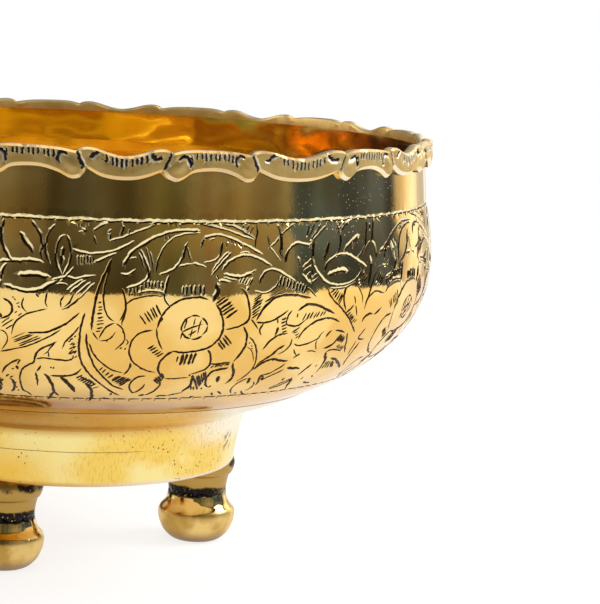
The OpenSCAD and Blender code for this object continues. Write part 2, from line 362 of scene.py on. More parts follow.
class CutSheet:
    """A flat sheet with graver cuts, in millimetres, as points and triangles that follow every edge.
    low_edge gives where the sheet ends downwards, if that isn't a straight line."""

    def __init__(self, cuts, outline, creases, loose, low_edge=None):
        points = list(outline)
        edges = [(i, (i + 1) % len(outline)) for i in range(len(outline))]
        for row in creases:
            edges.extend((len(points) + i, len(points) + i + 1) for i in range(len(row) - 1))
            points.extend(row)
        self.marks = []
        for cut in cuts:
            first = len(points)
            points.extend(cut.floor)
            last = len(points) - 1
            edges.extend((i, i + 1) for i in range(first, last))
            for side in (1, -1):
                edge = cut.edge(side)
                row = [first, *range(len(points), len(points) + len(edge)), last]
                points.extend(edge)
                edges.extend(zip(row, row[1:]))
            for i in range(len(cut.floor) - 1):
                parts = max(1, math.ceil(math.dist(cut.floor[i], cut.floor[i + 1]) / MARK_STEP))
                for k in range(parts):
                    t = k / parts
                    self.marks.append([
                        *(p + (q - p) * t for p, q in zip(cut.floor[i], cut.floor[i + 1])),
                        *cut.normal[i],
                        *(row[i] + (row[i + 1] - row[i]) * t for row in (cut.left, cut.right, cut.deep)),
                        cut.bright])
        self.widest = max(max(mark[4:6]) for mark in self.marks)
        self.finder = kdtree.KDTree(len(self.marks))
        for i, mark in enumerate(self.marks):
            self.finder.insert((mark[0], mark[1], 0), i)
        self.finder.balance()
        points.extend(p for p in loose if self.finder.find((*p, 0))[2] > CLEAR_OF_CUTS)
        self.points, _, self.triangles, *_ = delaunay_2d_cdt(
            [Vector(p) for p in points], edges, [], 0, LEAST_DEPTH, False)
        if low_edge:
            self.triangles = [t for t in self.triangles if self.middle(t).y < low_edge(self.middle(t).x)]

    def middle(self, triangle):
        return sum((self.points[i] for i in triangle), Vector((0, 0))) / 3

    def depth(self, point):
        """Depth of the cuts at a point, its share of the full depth there, and how bright that wall
        is, which is 0 on the steep one."""
        best, share, bright = 0.0, 0.0, 0.0
        for _, index, distance in self.finder.find_range((*point, 0), self.widest):
            x, y, out_x, out_y, left, right, deep, painted_highlight = self.marks[index]
            side = (point[0] - x) * out_x + (point[1] - y) * out_y
            half = left if side > 0 else right
            if distance < half and deep * (1 - distance / half) > best:
                share = 1 - distance / half
                best = deep * share
                bright = painted_highlight if half > min(left, right) * 1.001 else 0.0
        return best, share, bright

    def build(self, name, place):
        """The sheet as a mesh. place gives a point's position for its two coordinates and its depth. The
        corners of the faces keep how far down a cut they lie and how bright its wall is."""
        found = [self.depth(p) for p in self.points]
        mesh = bpy.data.meshes.new(name)
        mesh.from_pydata(
            [place(*p, depth) for p, (depth, *_) in zip(self.points, found)], [],
            [tuple(t) for t in self.triangles])
        wax, wall = [], []
        for triangle in self.triangles:
            depth, _, bright = self.depth(self.middle(triangle))
            cut = depth > LEAST_DEPTH
            for i in triangle:
                wax.append(0.0 if not cut else found[i][1] if bright else 1.0)
                wall.append(bright if cut else 0.0)
        mesh.attributes.new("wax", "FLOAT", "CORNER").data.foreach_set("value", wax)
        mesh.attributes.new("wall", "FLOAT", "CORNER").data.foreach_set("value", wall)
        sheet = bpy.data.objects.new(name, mesh)
        scene.collection.objects.link(sheet)
        return sheet


# The cutter's pattern in millimetres: x to the right round the belly from the bowl's front, and s down
# from the upper border. A stroke is its width, then the points that it runs through. The flower and its
# tendrils come a second time FLOWER_STEP further on, without the tendrils past LAST_TENDRIL_X.
REPEATS = 4
FLOWER_STEP = 86.6
LAST_TENDRIL_X = 64
SEAM_MARGIN = 0.9
SHAKE_X = 0.2
SHAKE_S = 0.15
WIDEST_S = 20
LOW_S = 34
LOWEST_S = 48
LEAVES = [
    # pair of big leaves under the border at the left
    (0.7, (-18.9, 0.6), (-19.3, 3), (-18.9, 6), (-17.9, 8.8), (-16.6, 10.7), (-15.3, 11.6)),
    (0.8, (-19.8, 11.9), (-17.5, 11.5), (-14, 11.3), (-11, 11), (-9, 11.2), (-7.8, 11.7)),
    (0.9, (-14.4, 3.9), (-13.2, 5.5), (-11.6, 7.6), (-10.2, 9.7)),
    (0.6, (-11.6, 0.5), (-10, 2.6), (-8.8, 4.7), (-8.5, 6.8), (-8.6, 9), (-8, 11)),
    (0.6, (-5.2, 1.3), (-6.5, 3), (-7.3, 5), (-7.4, 7.2), (-7, 9.6), (-5.8, 12)),
    (0.5, (-2.3, 4.2), (-3.7, 5), (-4.6, 7.5), (-4.7, 10), (-4.1, 12.4), (-2.9, 14.6)),
    (0.5, (-2.1, 4.2), (-1.2, 6), (-0.8, 8.6), (-1, 11), (-1.8, 13.2), (-2.8, 14.8)),
    (0.7, (-2.9, 7), (-3, 9.6), (-2.9, 12.4)),
    (0.5, (0, 12), (-1, 13.6), (-2.4, 15.2), (-3.6, 16.1)),
    (0.5, (-5.6, 15.8), (-3.2, 15.2), (-1.6, 14.9), (0.4, 15.4), (2.4, 14.9), (6, 14.2)),
    (0.6, (-16.6, 12), (-17.8, 13), (-18.2, 14.6), (-18.1, 17.2)),
    (0.7, (-18.1, 17.3), (-15.5, 18.3), (-12, 18.9), (-9, 18.5), (-6.6, 17.2), (-4, 15.6)),
    (1.0, (-14.4, 15), (-11, 14.6), (-8, 14.8), (-5.6, 15.3)),
    (0.4, (-4.7, 16.9), (-2.8, 16.6), (-1.4, 17)),
    (0.5, (-9.4, 19.4), (-8.4, 20.5)),
    # scroll under the leaves at the far left
    (0.6, (-18.2, 21), (-16.6, 21.8), (-15.7, 22.7), (-15.6, 23.8), (-16, 25.1), (-17.3, 26.2),
     (-19.2, 26.8)),
    (0.5, (-12.4, 20.6), (-12.8, 22), (-12.6, 23.4), (-11.3, 24.9)),
    (0.5, (-6.4, 23.4), (-9, 24.2), (-11.3, 24.9), (-12.6, 25.6), (-14.2, 26.9), (-15.2, 28.5),
     (-15.6, 30), (-15.9, 31.5)),
    (0.5, (-6.6, 18.6), (-7, 20.5), (-7.1, 22), (-6.4, 23.4)),
    (0.5, (-2, 19.8), (-3, 21), (-3.1, 22), (-2.8, 23.3)),
    (0.5, (3, 18.9), (0.6, 21), (-1.4, 22.7), (-3.3, 23.6)),
    (0.5, (0.5, 18.9), (-0.2, 20.4), (-0.8, 21.8), (-2.4, 23.2)),
    (0.35, (-15.8, 20.6), (-15.1, 20.9)),
    (0.35, (-14.9, 21.3), (-14.3, 21.9)),
    (0.35, (-14.7, 22.8), (-13.7, 22.2)),
    (0.35, (-14, 23), (-13.3, 23.7)),
    (0.35, (-14.8, 25.2), (-14, 24.4)),
    (0.35, (-14.2, 25.9), (-12.9, 24.9)),
    (0.4, (-18.4, 28.1), (-15.8, 26)),
    (0.4, (-18.4, 29.2), (-14.8, 26.5)),
    (0.4, (-17.5, 29.8), (-15.2, 28.3)),
    (0.4, (-19, 30.1), (-17.9, 30.2), (-16.9, 31.2), (-16.8, 32.6), (-17.4, 34.2), (-18.8, 36.6)),
    # stem and long leaf
    (0.55, (-11.6, 30.3), (-9, 30.2), (-6.4, 29.9), (-3.6, 28.6), (-1, 27), (0.6, 25.5), (2.1, 24)),
    (0.5, (-19.6, 36.9), (-17, 36.2), (-14, 35.3), (-11, 34.1), (-8, 32.5), (-5, 30.6), (-2.8, 28.9)),
    (0.3, (-16.4, 32.7), (-14, 31.4), (-12, 30.3)),
    (0.3, (-15.4, 33.6), (-12.5, 32.2), (-9.8, 30.8)),
    (0.3, (-14.4, 34.3), (-11.6, 33), (-8.6, 31)),
    (0.5, (3.1, 24), (2.6, 26), (2.1, 28.5), (2, 31), (2, 34), (2.3, 37), (3, 39.6), (4, 41.6),
     (5, 43.4),
     (6.6, 45.7), (8.6, 48.1), (10.6, 50.3), (12.6, 52.5), (14.5, 54), (16, 55)),
    (0.5, (2.1, 27.6), (0.6, 29.8), (-0.8, 31.5), (-1.7, 32.7), (-2.1, 33.8), (-2.5, 35.1)),
    (0.4, (0.5, 31.3), (1.2, 30.7)),
    (0.45, (-0.8, 32.8), (0, 32.3)),
    (0.45, (0.1, 33.6), (1.1, 32.9)),
    (0.4, (0.3, 35), (1.2, 34)),
    (0.4, (-1.1, 36.9), (-0.3, 35.9), (0.4, 34.9)),
    (0.4, (0.5, 36.6), (1.4, 35.4)),
    (0.4, (0.8, 38), (1.7, 36.8)),
    (0.5, (-3.8, 32.6), (-6, 33.8), (-8.4, 35.3), (-9.5, 36.8), (-10, 38.6), (-10.3, 40), (-12, 41.2),
     (-13.7, 42.9), (-14.3, 44.6), (-14.8, 47), (-14.8, 50), (-14.5, 53.5), (-13.2, 54.6), (-12, 57.2)),
    (0.45, (-3.9, 32.7), (-5.2, 34.2), (-6.2, 36), (-7.5, 37.2)),
    (0.45, (-6.2, 36), (-6, 37), (-5.9, 38.3)),
    (0.5, (-9.8, 38.7), (-7.8, 38.2), (-6, 38.3), (-4, 38.6), (-1, 38.8), (0.3, 38), (0.5, 36.6)),
    # lower left leaves
    (0.5, (-13.9, 39.2), (-16, 40.4), (-18, 42.2), (-19.2, 44), (-19.8, 45.8)),
    (0.5, (-14, 39.2), (-15.1, 41.5)),
    (0.7, (-15.1, 41.7), (-14.7, 43.6)),
    (0.5, (-8.3, 40.9), (-9.1, 42.6), (-9.8, 44)),
    (0.5, (-9.8, 44), (-9.6, 46), (-9.5, 48), (-9.8, 51)),
    (0.8, (-7.6, 44.5), (-6.2, 46.6), (-5.5, 48.8), (-5.1, 51), (-4.9, 53.4), (-5.8, 55.5),
     (-6.5, 57.4), (-7.2, 59)),
    (0.6, (-4.9, 53.5), (-4, 55), (-3.3, 56.2)),
    (0.6, (-5.9, 45.3), (-3, 45.2), (-0.8, 45), (0.7, 44.5), (2, 43.2), (3.2, 41.5)),
    (0.8, (-3, 45.5), (-1.2, 47.5), (0.2, 49.8), (1, 51.6), (1.8, 53.6)),
    (0.45, (-5.8, 42.3), (-5.3, 41.6)),
    (0.45, (-5.1, 42.4), (-4.6, 41.6)),
    (0.6, (-18.6, 54.8), (-17.4, 53), (-17, 51), (-16.8, 49.8), (-17.1, 48.4), (-17.9, 47.2)),
    (0.4, (-18.7, 46.9), (-17.5, 45.5)),
    (0.4, (-17.9, 47.2), (-16.5, 46.2)),
    (0.35, (-16.7, 43.3), (-15.7, 43)),
    (0.35, (-16.8, 50), (-16, 49)),
    (0.35, (-16.6, 52.4), (-15.9, 51.4)),
    (0.35, (-16.3, 54.2), (-15.6, 53.2)),
    # leaves between the big leaves and the flower, under the border
    (0.6, (4.4, 3.1), (6, 1.7), (8.4, 0.7)),
    (0.5, (1.4, 2.1), (2.6, 3), (0.6, 3.2)),
    (0.4, (4.9, 4), (5.3, 5.6), (6, 6.6)),
    (0.5, (8.4, 3.4), (9.4, 2.2)),
    (0.6, (9, 3.3), (8.8, 5.4)),
    (0.6, (12.2, 1), (12.3, 2.5), (11.5, 4.4)),
    (0.5, (13.8, 2.2), (13.9, 3.8)),
    (0.5, (8.7, 5.6), (10, 5.2), (12.3, 4.6), (15, 3.4), (19, 1.9), (22, 0.5)),
    (0.5, (-0.8, 7.7), (0.4, 8.3), (3, 8.9), (6, 8.8), (9, 8.3), (11.5, 7.5), (13.6, 6.4), (15.4, 5.2)),
    (0.5, (4.6, 11.2), (7, 10.2), (9.2, 9.1), (11, 8.3)),
    (0.7, (9.5, 9.8), (8.6, 12.3), (7.2, 15.2), (6.3, 18), (5.7, 21), (5.3, 24), (5.1, 27), (5.2, 29.3)),
    (0.5, (9.1, 11.6), (8.4, 14.4), (7.8, 16.8), (7.6, 19), (7.7, 21), (8.2, 23.3), (9.2, 25.3),
     (11, 26.5)),
    (0.5, (12.4, 17.3), (13.2, 19.5), (13.7, 22), (13.5, 24.4), (12.9, 26.4), (13, 27.8)),
    (0.45, (13.4, 22.4), (12.9, 24.6), (11.9, 26.3)),
    (0.5, (11.2, 26.8), (9.5, 27.4), (8.3, 28.6), (7.5, 30.1), (7, 31.8)),
    (0.5, (11.2, 26.8), (12.8, 28), (13.5, 29.3), (14, 31), (13.6, 32.5), (12.6, 33.8), (11.4, 35.1)),
    (0.45, (5.2, 29.3), (6, 30.6), (7.1, 31.9)),
    (0.45, (7.2, 32.1), (9, 32), (10.4, 31), (11.6, 29.2)),
    (0.5, (9.2, 32.4), (9.6, 31.6)),
    (0.4, (14.1, 31.1), (15.2, 32.2), (14.5, 33.4)),
    (0.5, (12.8, 34.5), (13.3, 33.9)),
    (0.5, (14, 34.9), (14.6, 34.3)),
    # long curling stem to the lower right
    (0.45, (4, 29.6), (4.2, 32.6), (4.9, 35.6), (5.9, 38.4), (7, 41), (8.6, 43.6), (10.4, 46), (12, 48),
     (12.9, 49.2), (15.6, 50.8), (16.8, 51.6)),
    (0.45, (4.5, 32.8), (5.9, 36.2), (7.6, 38.6), (9.4, 40.4), (11, 41.9), (13, 42.9), (15, 43.6)),
    (0.55, (16.6, 39), (16.8, 40.6), (16.3, 42.4), (15.2, 44.4)),
    (0.7, (4.2, 48), (5.6, 49.8), (6.4, 51.6), (6.7, 53.6), (7, 55.6), (6.7, 57.6), (6.2, 59.4)),
    (0.4, (6.6, 51.3), (7.5, 50.5), (9, 50)),
    (0.6, (12.8, 53.4), (12.7, 55)),
    (0.7, (11, 57.2), (11.8, 56.9)),
    *hatch(0.5, 4, (-2, 18.5), (2.3, 15.5), (1.6, 20.6), (5.6, 16.2)),
    *hatch(0.5, 6, (0.9, 9.2), (0.9, 12.1), (4.6, 9.1), (4.7, 11.6)),
    *hatch(0.35, 4, (0.4, 1.2), (0.6, 2), (3.4, 1.1), (3.5, 1.8)),
    *hatch(0.45, 6, (6.4, 21.5), (7.3, 21.3), (6.1, 26.6), (8.3, 26.2)),
    *hatch(0.45, 3, (6.1, 27.4), (8.3, 27), (6.2, 29.3), (7.7, 29.1)),
    *hatch(0.45, 4, (8, 42.6), (9, 41), (11, 45.8), (12.5, 44)),
    *hatch(0.55, 6, (11.9, 47), (14.2, 44.5), (14.6, 49.6), (17.8, 45.8)),
    *hatch(0.45, 7, (1.6, 46.4), (3.5, 44.5), (5.6, 50.4), (7.9, 48.2)),
    *hatch(0.4, 5, (2.6, 45), (4.6, 47.2), (6, 46.8), (7.9, 49.4)),
    *hatch(0.4, 4, (-15.8, 33), (-10.6, 30.6), (-14, 34.8), (-7.6, 31.4)),
    *hatch(0.45, 4, (-0.6, 32), (0.4, 31.4), (-0.4, 36.8), (1.6, 35.2)),
]
FLOWER = [
    # upper left petal and the neck above it
    (0.5, (13.7, 21.9), (14.9, 20.6), (16.5, 19.9), (18.6, 19.4), (21, 19.2), (23.6, 19.4)),
    (0.5, (16.8, 18.8), (18.4, 18.3), (20.4, 18.1), (22.4, 18.3), (23.8, 18.6)),
    (0.6, (33.4, 2.5), (30, 2.5), (27, 2.5), (24.6, 3), (22, 3.9), (19, 5.3), (16.5, 6.8), (14.8, 8.3),
     (13.4, 10.1), (12.7, 11.7), (13, 13)),
    (0.4, (14.1, 9.7), (16, 9.3)),
    (0.5, (11.7, 13.4), (13, 13.9), (14.4, 13.5), (15.7, 12.2)),
    (0.6, (13.5, 17.3), (16, 16.8), (18, 15.8), (19.1, 14.5), (19.3, 12.8), (18.8, 10.9), (17.9, 9),
     (17, 7.2)),
    (0.4, (16.6, 8), (17.6, 10.6), (18.2, 12.6)),
    (0.4, (18.4, 6.6), (19.2, 9.4), (19.7, 12.7)),
    (0.4, (19.4, 7.6), (20.2, 11), (20.4, 14)),
    (0.45, (33.4, 2.9), (30.5, 3.1), (28, 3.5), (25.6, 4.4), (23.3, 6.4), (21.9, 8.9), (21.2, 11.4),
     (21.1, 13.8)),
    (0.4, (23.4, 3.8), (23.7, 5.2)),
    (0.4, (24.3, 3.5), (24.6, 4.9)),
    (0.6, (21.7, 13.8), (24, 13.2), (26, 12.1), (27.4, 10.5), (28.4, 8.6), (29, 6.4), (29.8, 5)),
    (0.45, (29.6, 6.6), (30, 8.6), (31, 10.7)),
    (0.45, (26.6, 11.8), (28.6, 11.4), (30.8, 11)),
    (0.5, (30.9, 10.9), (33, 11.4), (35, 12)),
    (0.55, (24.6, 13.7), (24, 15.5), (23.7, 17.2), (23.6, 19.6), (24.6, 21.4), (25.6, 22.5)),
    (0.5, (25.2, 22.1), (24, 23.4), (23.2, 24.6)),
    (0.4, (23.2, 24.6), (23.7, 25.5), (22.8, 26.5)),
    # ring round the middle disc
    (0.6, (22.4, 28.3), (22.7, 26), (23.6, 23.9), (25.4, 21.9), (28, 20.3), (30.4, 19.8),
     (33.2, 19.6), (36, 20.4)),
    (0.5, (22.3, 27.6), (22.7, 30), (23.4, 32), (24.2, 33.6), (25.1, 34.8)),
    (0.7, (37.9, 21.4), (39.2, 23), (40.2, 24.8), (40.9, 27), (41, 29), (40.5, 31), (39.5, 32.8),
     (38, 34.2),
     (36, 34.9), (33.5, 35.4), (31, 35.7), (29, 35.4), (27.4, 35)),
    # hatched berry at the middle
    (0.55, (29.3, 29.2), (28.8, 27.6), (29.3, 26.2), (30.3, 25.1), (31.4, 24.6)),
    (0.55, (31.2, 24.7), (32.8, 24.4), (34.2, 25)),
    (0.55, (34, 24.9), (35.4, 26), (36.2, 27.6)),
    (0.55, (36.2, 27.4), (36, 29), (34.8, 30.4)),
    (0.55, (35.1, 30.2), (33.6, 31.2), (31.8, 31.2)),
    (0.55, (32.2, 31.4), (30.4, 30.8), (29.4, 29.6), (29.1, 31.7)),
    (0.4, (30.4, 25.4), (29.9, 28.6)),
    (0.35, (32.4, 25), (32.1, 27.6)),
    (0.4, (31.9, 28), (31.7, 31)),
    (0.45, (34.6, 25.7), (34, 27.5), (34, 30.4)),
    (0.5, (29, 29.3), (31.2, 28.1), (33.4, 27.4), (35, 26.8)),
    (0.45, (31, 30.4), (33.5, 28.8)),
    # petals to the left
    (0.5, (21.4, 28.7), (18.6, 29.2), (16.9, 30.4), (15.9, 32.2), (15.6, 34.3), (16, 36.5), (17, 38.7),
     (18.4, 40.1), (20.2, 41.5), (22.6, 42.8), (24.6, 43.2)),
    (0.7, (20, 41.4), (20.3, 41.8)),
    (0.6, (28, 35), (26.4, 36.3), (25.1, 38.3), (24.8, 40.4), (25.4, 42.8), (26.6, 44.4), (27.6, 46)),
    # petals to the right
    (0.9, (37.8, 15.6), (38, 17.4), (37.3, 19.4), (36.7, 21)),
    (0.4, (37.7, 13.9), (38.4, 15.4)),
    (0.5, (38.2, 15.5), (40, 15.5), (42, 15.8)),
    (0.7, (44.8, 17.1), (46.3, 18.2), (47.3, 20), (48, 22.5), (48.4, 24.8), (47.7, 26.6), (46, 27.6),
     (44, 28.2), (41.5, 28.6)),
    (0.7, (46.6, 27.8), (48, 29.7), (48.8, 31.8), (48.9, 34), (48.4, 36.3), (47.4, 38.6), (46.9, 40)),
    (0.6, (40, 40), (42, 40.2), (44, 39.9), (46.4, 39.5)),
    (0.5, (37.7, 34.7), (38.5, 35.5), (39.5, 37.3), (40.1, 39.2), (40, 40.8), (39.2, 42.2), (37.6, 43.2),
     (35.2, 44.1)),
    (0.5, (35.1, 44), (35.5, 45)),
    # leaf and berry below
    (0.4, (27.8, 46), (30.8, 46.2), (33, 45.9), (35.6, 45.7)),
    (0.7, (36.1, 44.3), (36.9, 46.5), (37.1, 48.5), (37, 50.3), (36.2, 52.2), (35.7, 53.6)),
    (0.6, (27.8, 55.7), (30, 55.2), (31.8, 55.5)),
    (0.5, (31.4, 55.4), (33.4, 54.7), (35, 54), (36.4, 53.8)),
    (0.6, (46.5, 42), (44.5, 42.4), (42.3, 43), (41.3, 44.2), (41, 46), (41.4, 48), (42.3, 49.8),
     (43.9, 51.5)),
    (0.6, (43.9, 51.5), (44.5, 50.2)),
    (0.7, (47, 39.8), (47.7, 41.8), (48.9, 43.8), (49.7, 46), (49.5, 48.2), (48.6, 49.9)),
    (0.8, (44.4, 45.3), (45.2, 47), (45.9, 48.7)),
    # leaf at the lower left of the flower
    (0.45, (21.9, 44.6), (19.8, 44.8), (18.6, 45.9), (17.8, 47.8), (17.7, 49.6), (18.6, 51.7),
     (19.5, 53.2),
     (20.5, 52.6), (21.6, 51), (22.1, 49.3), (22.1, 48.2)),
    (0.6, (21.7, 55.4), (22.6, 55), (24, 54.7)),
    (0.5, (23.8, 54.8), (25.7, 53.2), (26.8, 51.2), (27.3, 49), (26.9, 47.3), (25.8, 46), (24.6, 45)),
    *hatch(0.5, 4, (14.3, 17.5), (14.4, 19.7), (17.2, 16.6), (17.3, 18.8)),
    *hatch(0.55, 6, (18.2, 15.4), (18.2, 18), (22.8, 15.4), (22.8, 17.9)),
    *hatch(0.5, 6, (17.4, 24.2), (19.7, 27.2), (21.5, 21.4), (23.2, 24.7)),
    *hatch(0.55, 5, (20.2, 34.6), (22.1, 33.2), (23.3, 37.2), (25.2, 35.7)),
    *hatch(0.6, 6, (28.3, 16.4), (28.2, 19.5), (34.2, 16.3), (34.3, 19.6)),
    *hatch(0.65, 6, (37.6, 21.4), (40.9, 19.2), (40.7, 25.6), (44.4, 23.1)),
    *hatch(0.6, 4, (41.5, 30), (44.9, 33.5), (40, 32.6), (42.6, 35.4)),
    *hatch(0.75, 4, (30.8, 36), (30.8, 40.6), (34.4, 35.7), (34.3, 40.4)),
    (0.4, (29.7, 37), (29.6, 39.4)),
    *hatch(0.45, 6, (40.8, 41.9), (41.8, 40.5), (45.6, 41), (46.5, 39.7)),
    *hatch(0.5, 6, (36.6, 45.2), (40.6, 51.8), (39.7, 42.8), (41.2, 46.6)),
    *hatch(0.45, 4, (37.4, 49.6), (38.6, 52.6), (41.4, 51), (42, 52.4)),
    *hatch(0.5, 5, (24.4, 46.2), (26.6, 48.6), (26.3, 43.2), (27.9, 45.8)),
]
TENDRILS = [
    # long blades and curled leaf under the border, right of the neck
    (0.6, (32.6, 0.3), (37, 1.1), (41, 2), (44, 3.1), (47, 4.1), (49.4, 4.8)),
    (0.6, (39, 0.4), (43, 1.2), (45.5, 2.3), (47.6, 3.6), (49.4, 4.7)),
    (0.6, (33.8, 7.4), (33.5, 6), (34.2, 4.7), (35.5, 4), (37.2, 3.6), (39, 3.6), (41, 4.1), (43.5, 5.1),
     (46, 6.2), (48.5, 7.4), (50, 8.2), (51.7, 8.8)),
    (0.4, (35.7, 4.9), (37.6, 4.3)),
    (0.5, (39.7, 5.1), (39.3, 6.5), (39.1, 8), (38.3, 9.5), (36.6, 10.4), (34.1, 10.7)),
    (0.5, (41.2, 7.5), (39.2, 9.4), (37.5, 11.2), (36, 13.2)),
    (0.6, (42.3, 8), (40.2, 10), (38, 12.2), (36.1, 14.3)),
    (0.35, (40.6, 5.2), (40.3, 7)),
    (0.6, (39.1, 13.1), (40.1, 11.7), (41.6, 10.3), (43.5, 9.4), (45.5, 8.9), (47.5, 8.9), (50, 9.7),
     (52.2, 10.7), (54.6, 12)),
    (0.4, (44.4, 8.4), (46.2, 8.1), (47.8, 8.4)),
    (0.7, (39.4, 13.5), (42, 14.2), (44.5, 14.4), (46.5, 13.9), (48, 13.3), (49.4, 12.5)),
    (0.4, (39.6, 14.4), (42, 15), (44, 15.3)),
    (0.6, (46.8, 18.6), (47, 17.2)),
    (0.6, (50.4, 16.6), (51.1, 14.7), (52.2, 13.4), (53.6, 12.8), (55.2, 12.8), (57.6, 13.7), (60, 15),
     (62, 16.2)),
    (0.55, (49, 18), (50.4, 18.6), (52.2, 18.8), (54, 18.4), (55.6, 17.3), (56.5, 16), (56.5, 14.5)),
    (0.6, (56.4, 0.5), (57.3, 2.2), (57.5, 4), (57.4, 6), (57.2, 8), (57.8, 10.3)),
    (0.5, (62.6, 0.6), (60.5, 1.8), (58.6, 3), (57, 4.4), (55.6, 5.7), (54.2, 6.5), (52.9, 7.7)),
    (0.4, (53.4, 3.5), (53.5, 5), (53.8, 6.6), (55, 8), (57.3, 10.7)),
    (0.6, (58.6, 11.3), (59.1, 9.3), (60, 7.7), (61.8, 6.4), (63.6, 5.9), (65.2, 6.2), (66.8, 6.6),
     (68, 6.2),
     (68.8, 5.1)),
    (0.4, (49.9, 0.6), (50.1, 2.4), (49.4, 4.7), (48.9, 7.4)),
    (0.45, (52.2, 21.6), (54.2, 20.5), (56.4, 19.3), (58, 18.5)),
    # leaves below the horizon of the belly
    (0.7, (50.4, 26.6), (51.3, 24.4), (52.8, 22.4), (55, 20.6), (57.5, 19.8), (60, 19.7), (63, 19.9),
     (66, 20.6), (68, 20.9)),
    (0.6, (50.4, 26.6), (53, 27), (55.5, 26.5), (57.6, 25.6), (59.2, 24.6), (60.6, 23.6)),
    (0.6, (53, 27.2), (52.3, 28.3), (52.2, 29.8), (53.3, 31.1)),
    (0.55, (61.8, 24), (60.8, 25.3), (60.5, 26.6), (60.7, 28.1), (62, 28.5), (63.6, 28.8), (65, 28.6),
     (66.3, 27.8), (67.4, 26.8)),
    (0.5, (63.9, 26.4), (64, 25)),
    (0.8, (63.5, 24.5), (64.6, 23.6), (66.4, 22.8), (68.5, 22.7), (71, 23.4), (73.5, 24.3),
     (76, 25.3), (78, 26.2)),
    (0.5, (57.2, 26.2), (57.8, 27.8)),
    (0.7, (57.9, 28.6), (57.9, 30), (57.6, 31.7)),
    (0.7, (55, 36), (56.2, 33.6), (57.4, 32.2), (58.8, 31.3), (60.2, 31), (62.2, 30.9)),
    (0.55, (63.1, 30.7), (64.6, 29.7), (66, 28.9)),
    (0.5, (63.8, 32.2), (64.3, 34), (63.8, 35.8), (62.4, 37.2), (60.8, 37.7)),
    (0.7, (62.5, 34.4), (60.7, 35.6), (59.4, 37.4), (57.7, 39), (56.3, 40.6), (55.8, 42.2)),
    (0.7, (55.8, 43.8), (57, 41.6), (58.6, 40.2), (60.4, 39.6), (62.4, 39.9), (64.6, 40.6),
     (67.3, 40.9)),
    (0.5, (49, 31.2), (50.6, 32.4), (52.1, 34.2), (53.4, 36.6), (54.4, 39.4), (54.9, 41.8), (54.8, 43.8),
     (54.1, 45.8), (53.2, 47.5), (51.7, 49)),
    (0.3, (49.4, 34.3), (51.4, 35.6), (52.9, 37.8), (54, 40.4)),
    (0.5, (48.6, 26), (50.2, 27.6), (51.6, 29.2)),
    (0.5, (50, 33), (50.4, 33.5)),
    (0.5, (50.8, 33.9), (51.2, 34.3)),
    (0.5, (51.4, 34.7), (51.8, 35.2)),
    (0.5, (66.6, 41.4), (66, 43), (64.6, 44.3), (63.4, 45.5), (61.8, 46.1), (59.8, 46.1)),
    (0.6, (59.8, 46.1), (60.7, 47.9), (61.4, 49.5), (61.9, 52.2)),
    (0.5, (67.7, 44.3), (66.4, 45.4), (64.4, 46.8), (62.8, 48.2), (62, 49.6)),
    (0.8, (68.2, 43.8), (70.5, 44.4), (72.6, 44.5), (74.6, 45.1)),
    (0.45, (55.8, 47.3), (54.1, 48.5), (53, 50.4), (53, 52.6), (54, 54.7), (55.2, 56)),
    (0.8, (56.3, 47.2), (57.2, 49), (57.5, 50.7)),
    (0.5, (59.3, 49.3), (60.6, 50.6), (60.9, 53), (59.8, 55)),
    (0.5, (56, 55.7), (57.2, 56.3)),
    (0.5, (57.7, 54.5), (59.4, 56.2), (61.4, 57.6)),
    (0.5, (46.6, 54.4), (48.3, 56.4)),
    (0.4, (48.2, 53.5), (50, 54.7), (51.4, 56.1)),
    (0.8, (40.4, 56.8), (40.9, 57)),
    (0.5, (65.3, 34.3), (67, 35.1), (69, 35.1), (71, 34.8), (73, 34), (74.2, 33.3), (74.6, 32),
     (75.7, 31)),
    (0.65, (66.6, 33.2), (66.9, 31.5), (68, 29.8), (69.5, 28.6), (71.3, 27.6), (73.5, 27.1), (76, 27),
     (78.5, 27.6), (81.3, 28.7)),
    *hatch(0.35, 5, (41, 4.7), (41.6, 5.7), (44.8, 6), (45.4, 7)),
    *hatch(0.5, 5, (44.2, 16.2), (45, 14.6), (47, 17.4), (48.6, 14.7)),
    *hatch(0.5, 3, (45.4, 2), (46.2, 0.8), (47.4, 3.2), (49.2, 0.9)),
    *hatch(0.45, 5, (48.3, 22.7), (52, 20.3), (48.9, 25.8), (51.2, 24.2)),
    *hatch(0.45, 3, (48.9, 20.8), (51.8, 19.2), (48.7, 21.9), (51, 20.6)),
    *hatch(0.55, 9, (57.4, 14), (56.7, 17.8), (66, 17.2), (65, 20)),
    *hatch(0.55, 5, (58.4, 26.6), (60.2, 26), (59.6, 30.4), (61.4, 29.9)),
    *hatch(0.5, 7, (66, 27.4), (67, 24.9), (73.2, 26.4), (74.2, 24.8)),
    *hatch(0.5, 4, (60, 46.2), (61.5, 46.6), (61.4, 49), (62.8, 48.2)),
    *hatch(0.5, 4, (66, 4.9), (67.8, 0.6), (67.6, 6), (74, 1.5)),
    *hatch(0.35, 3, (64, 31), (65.6, 30.2), (65.2, 32.6), (66.4, 31.8)),
]
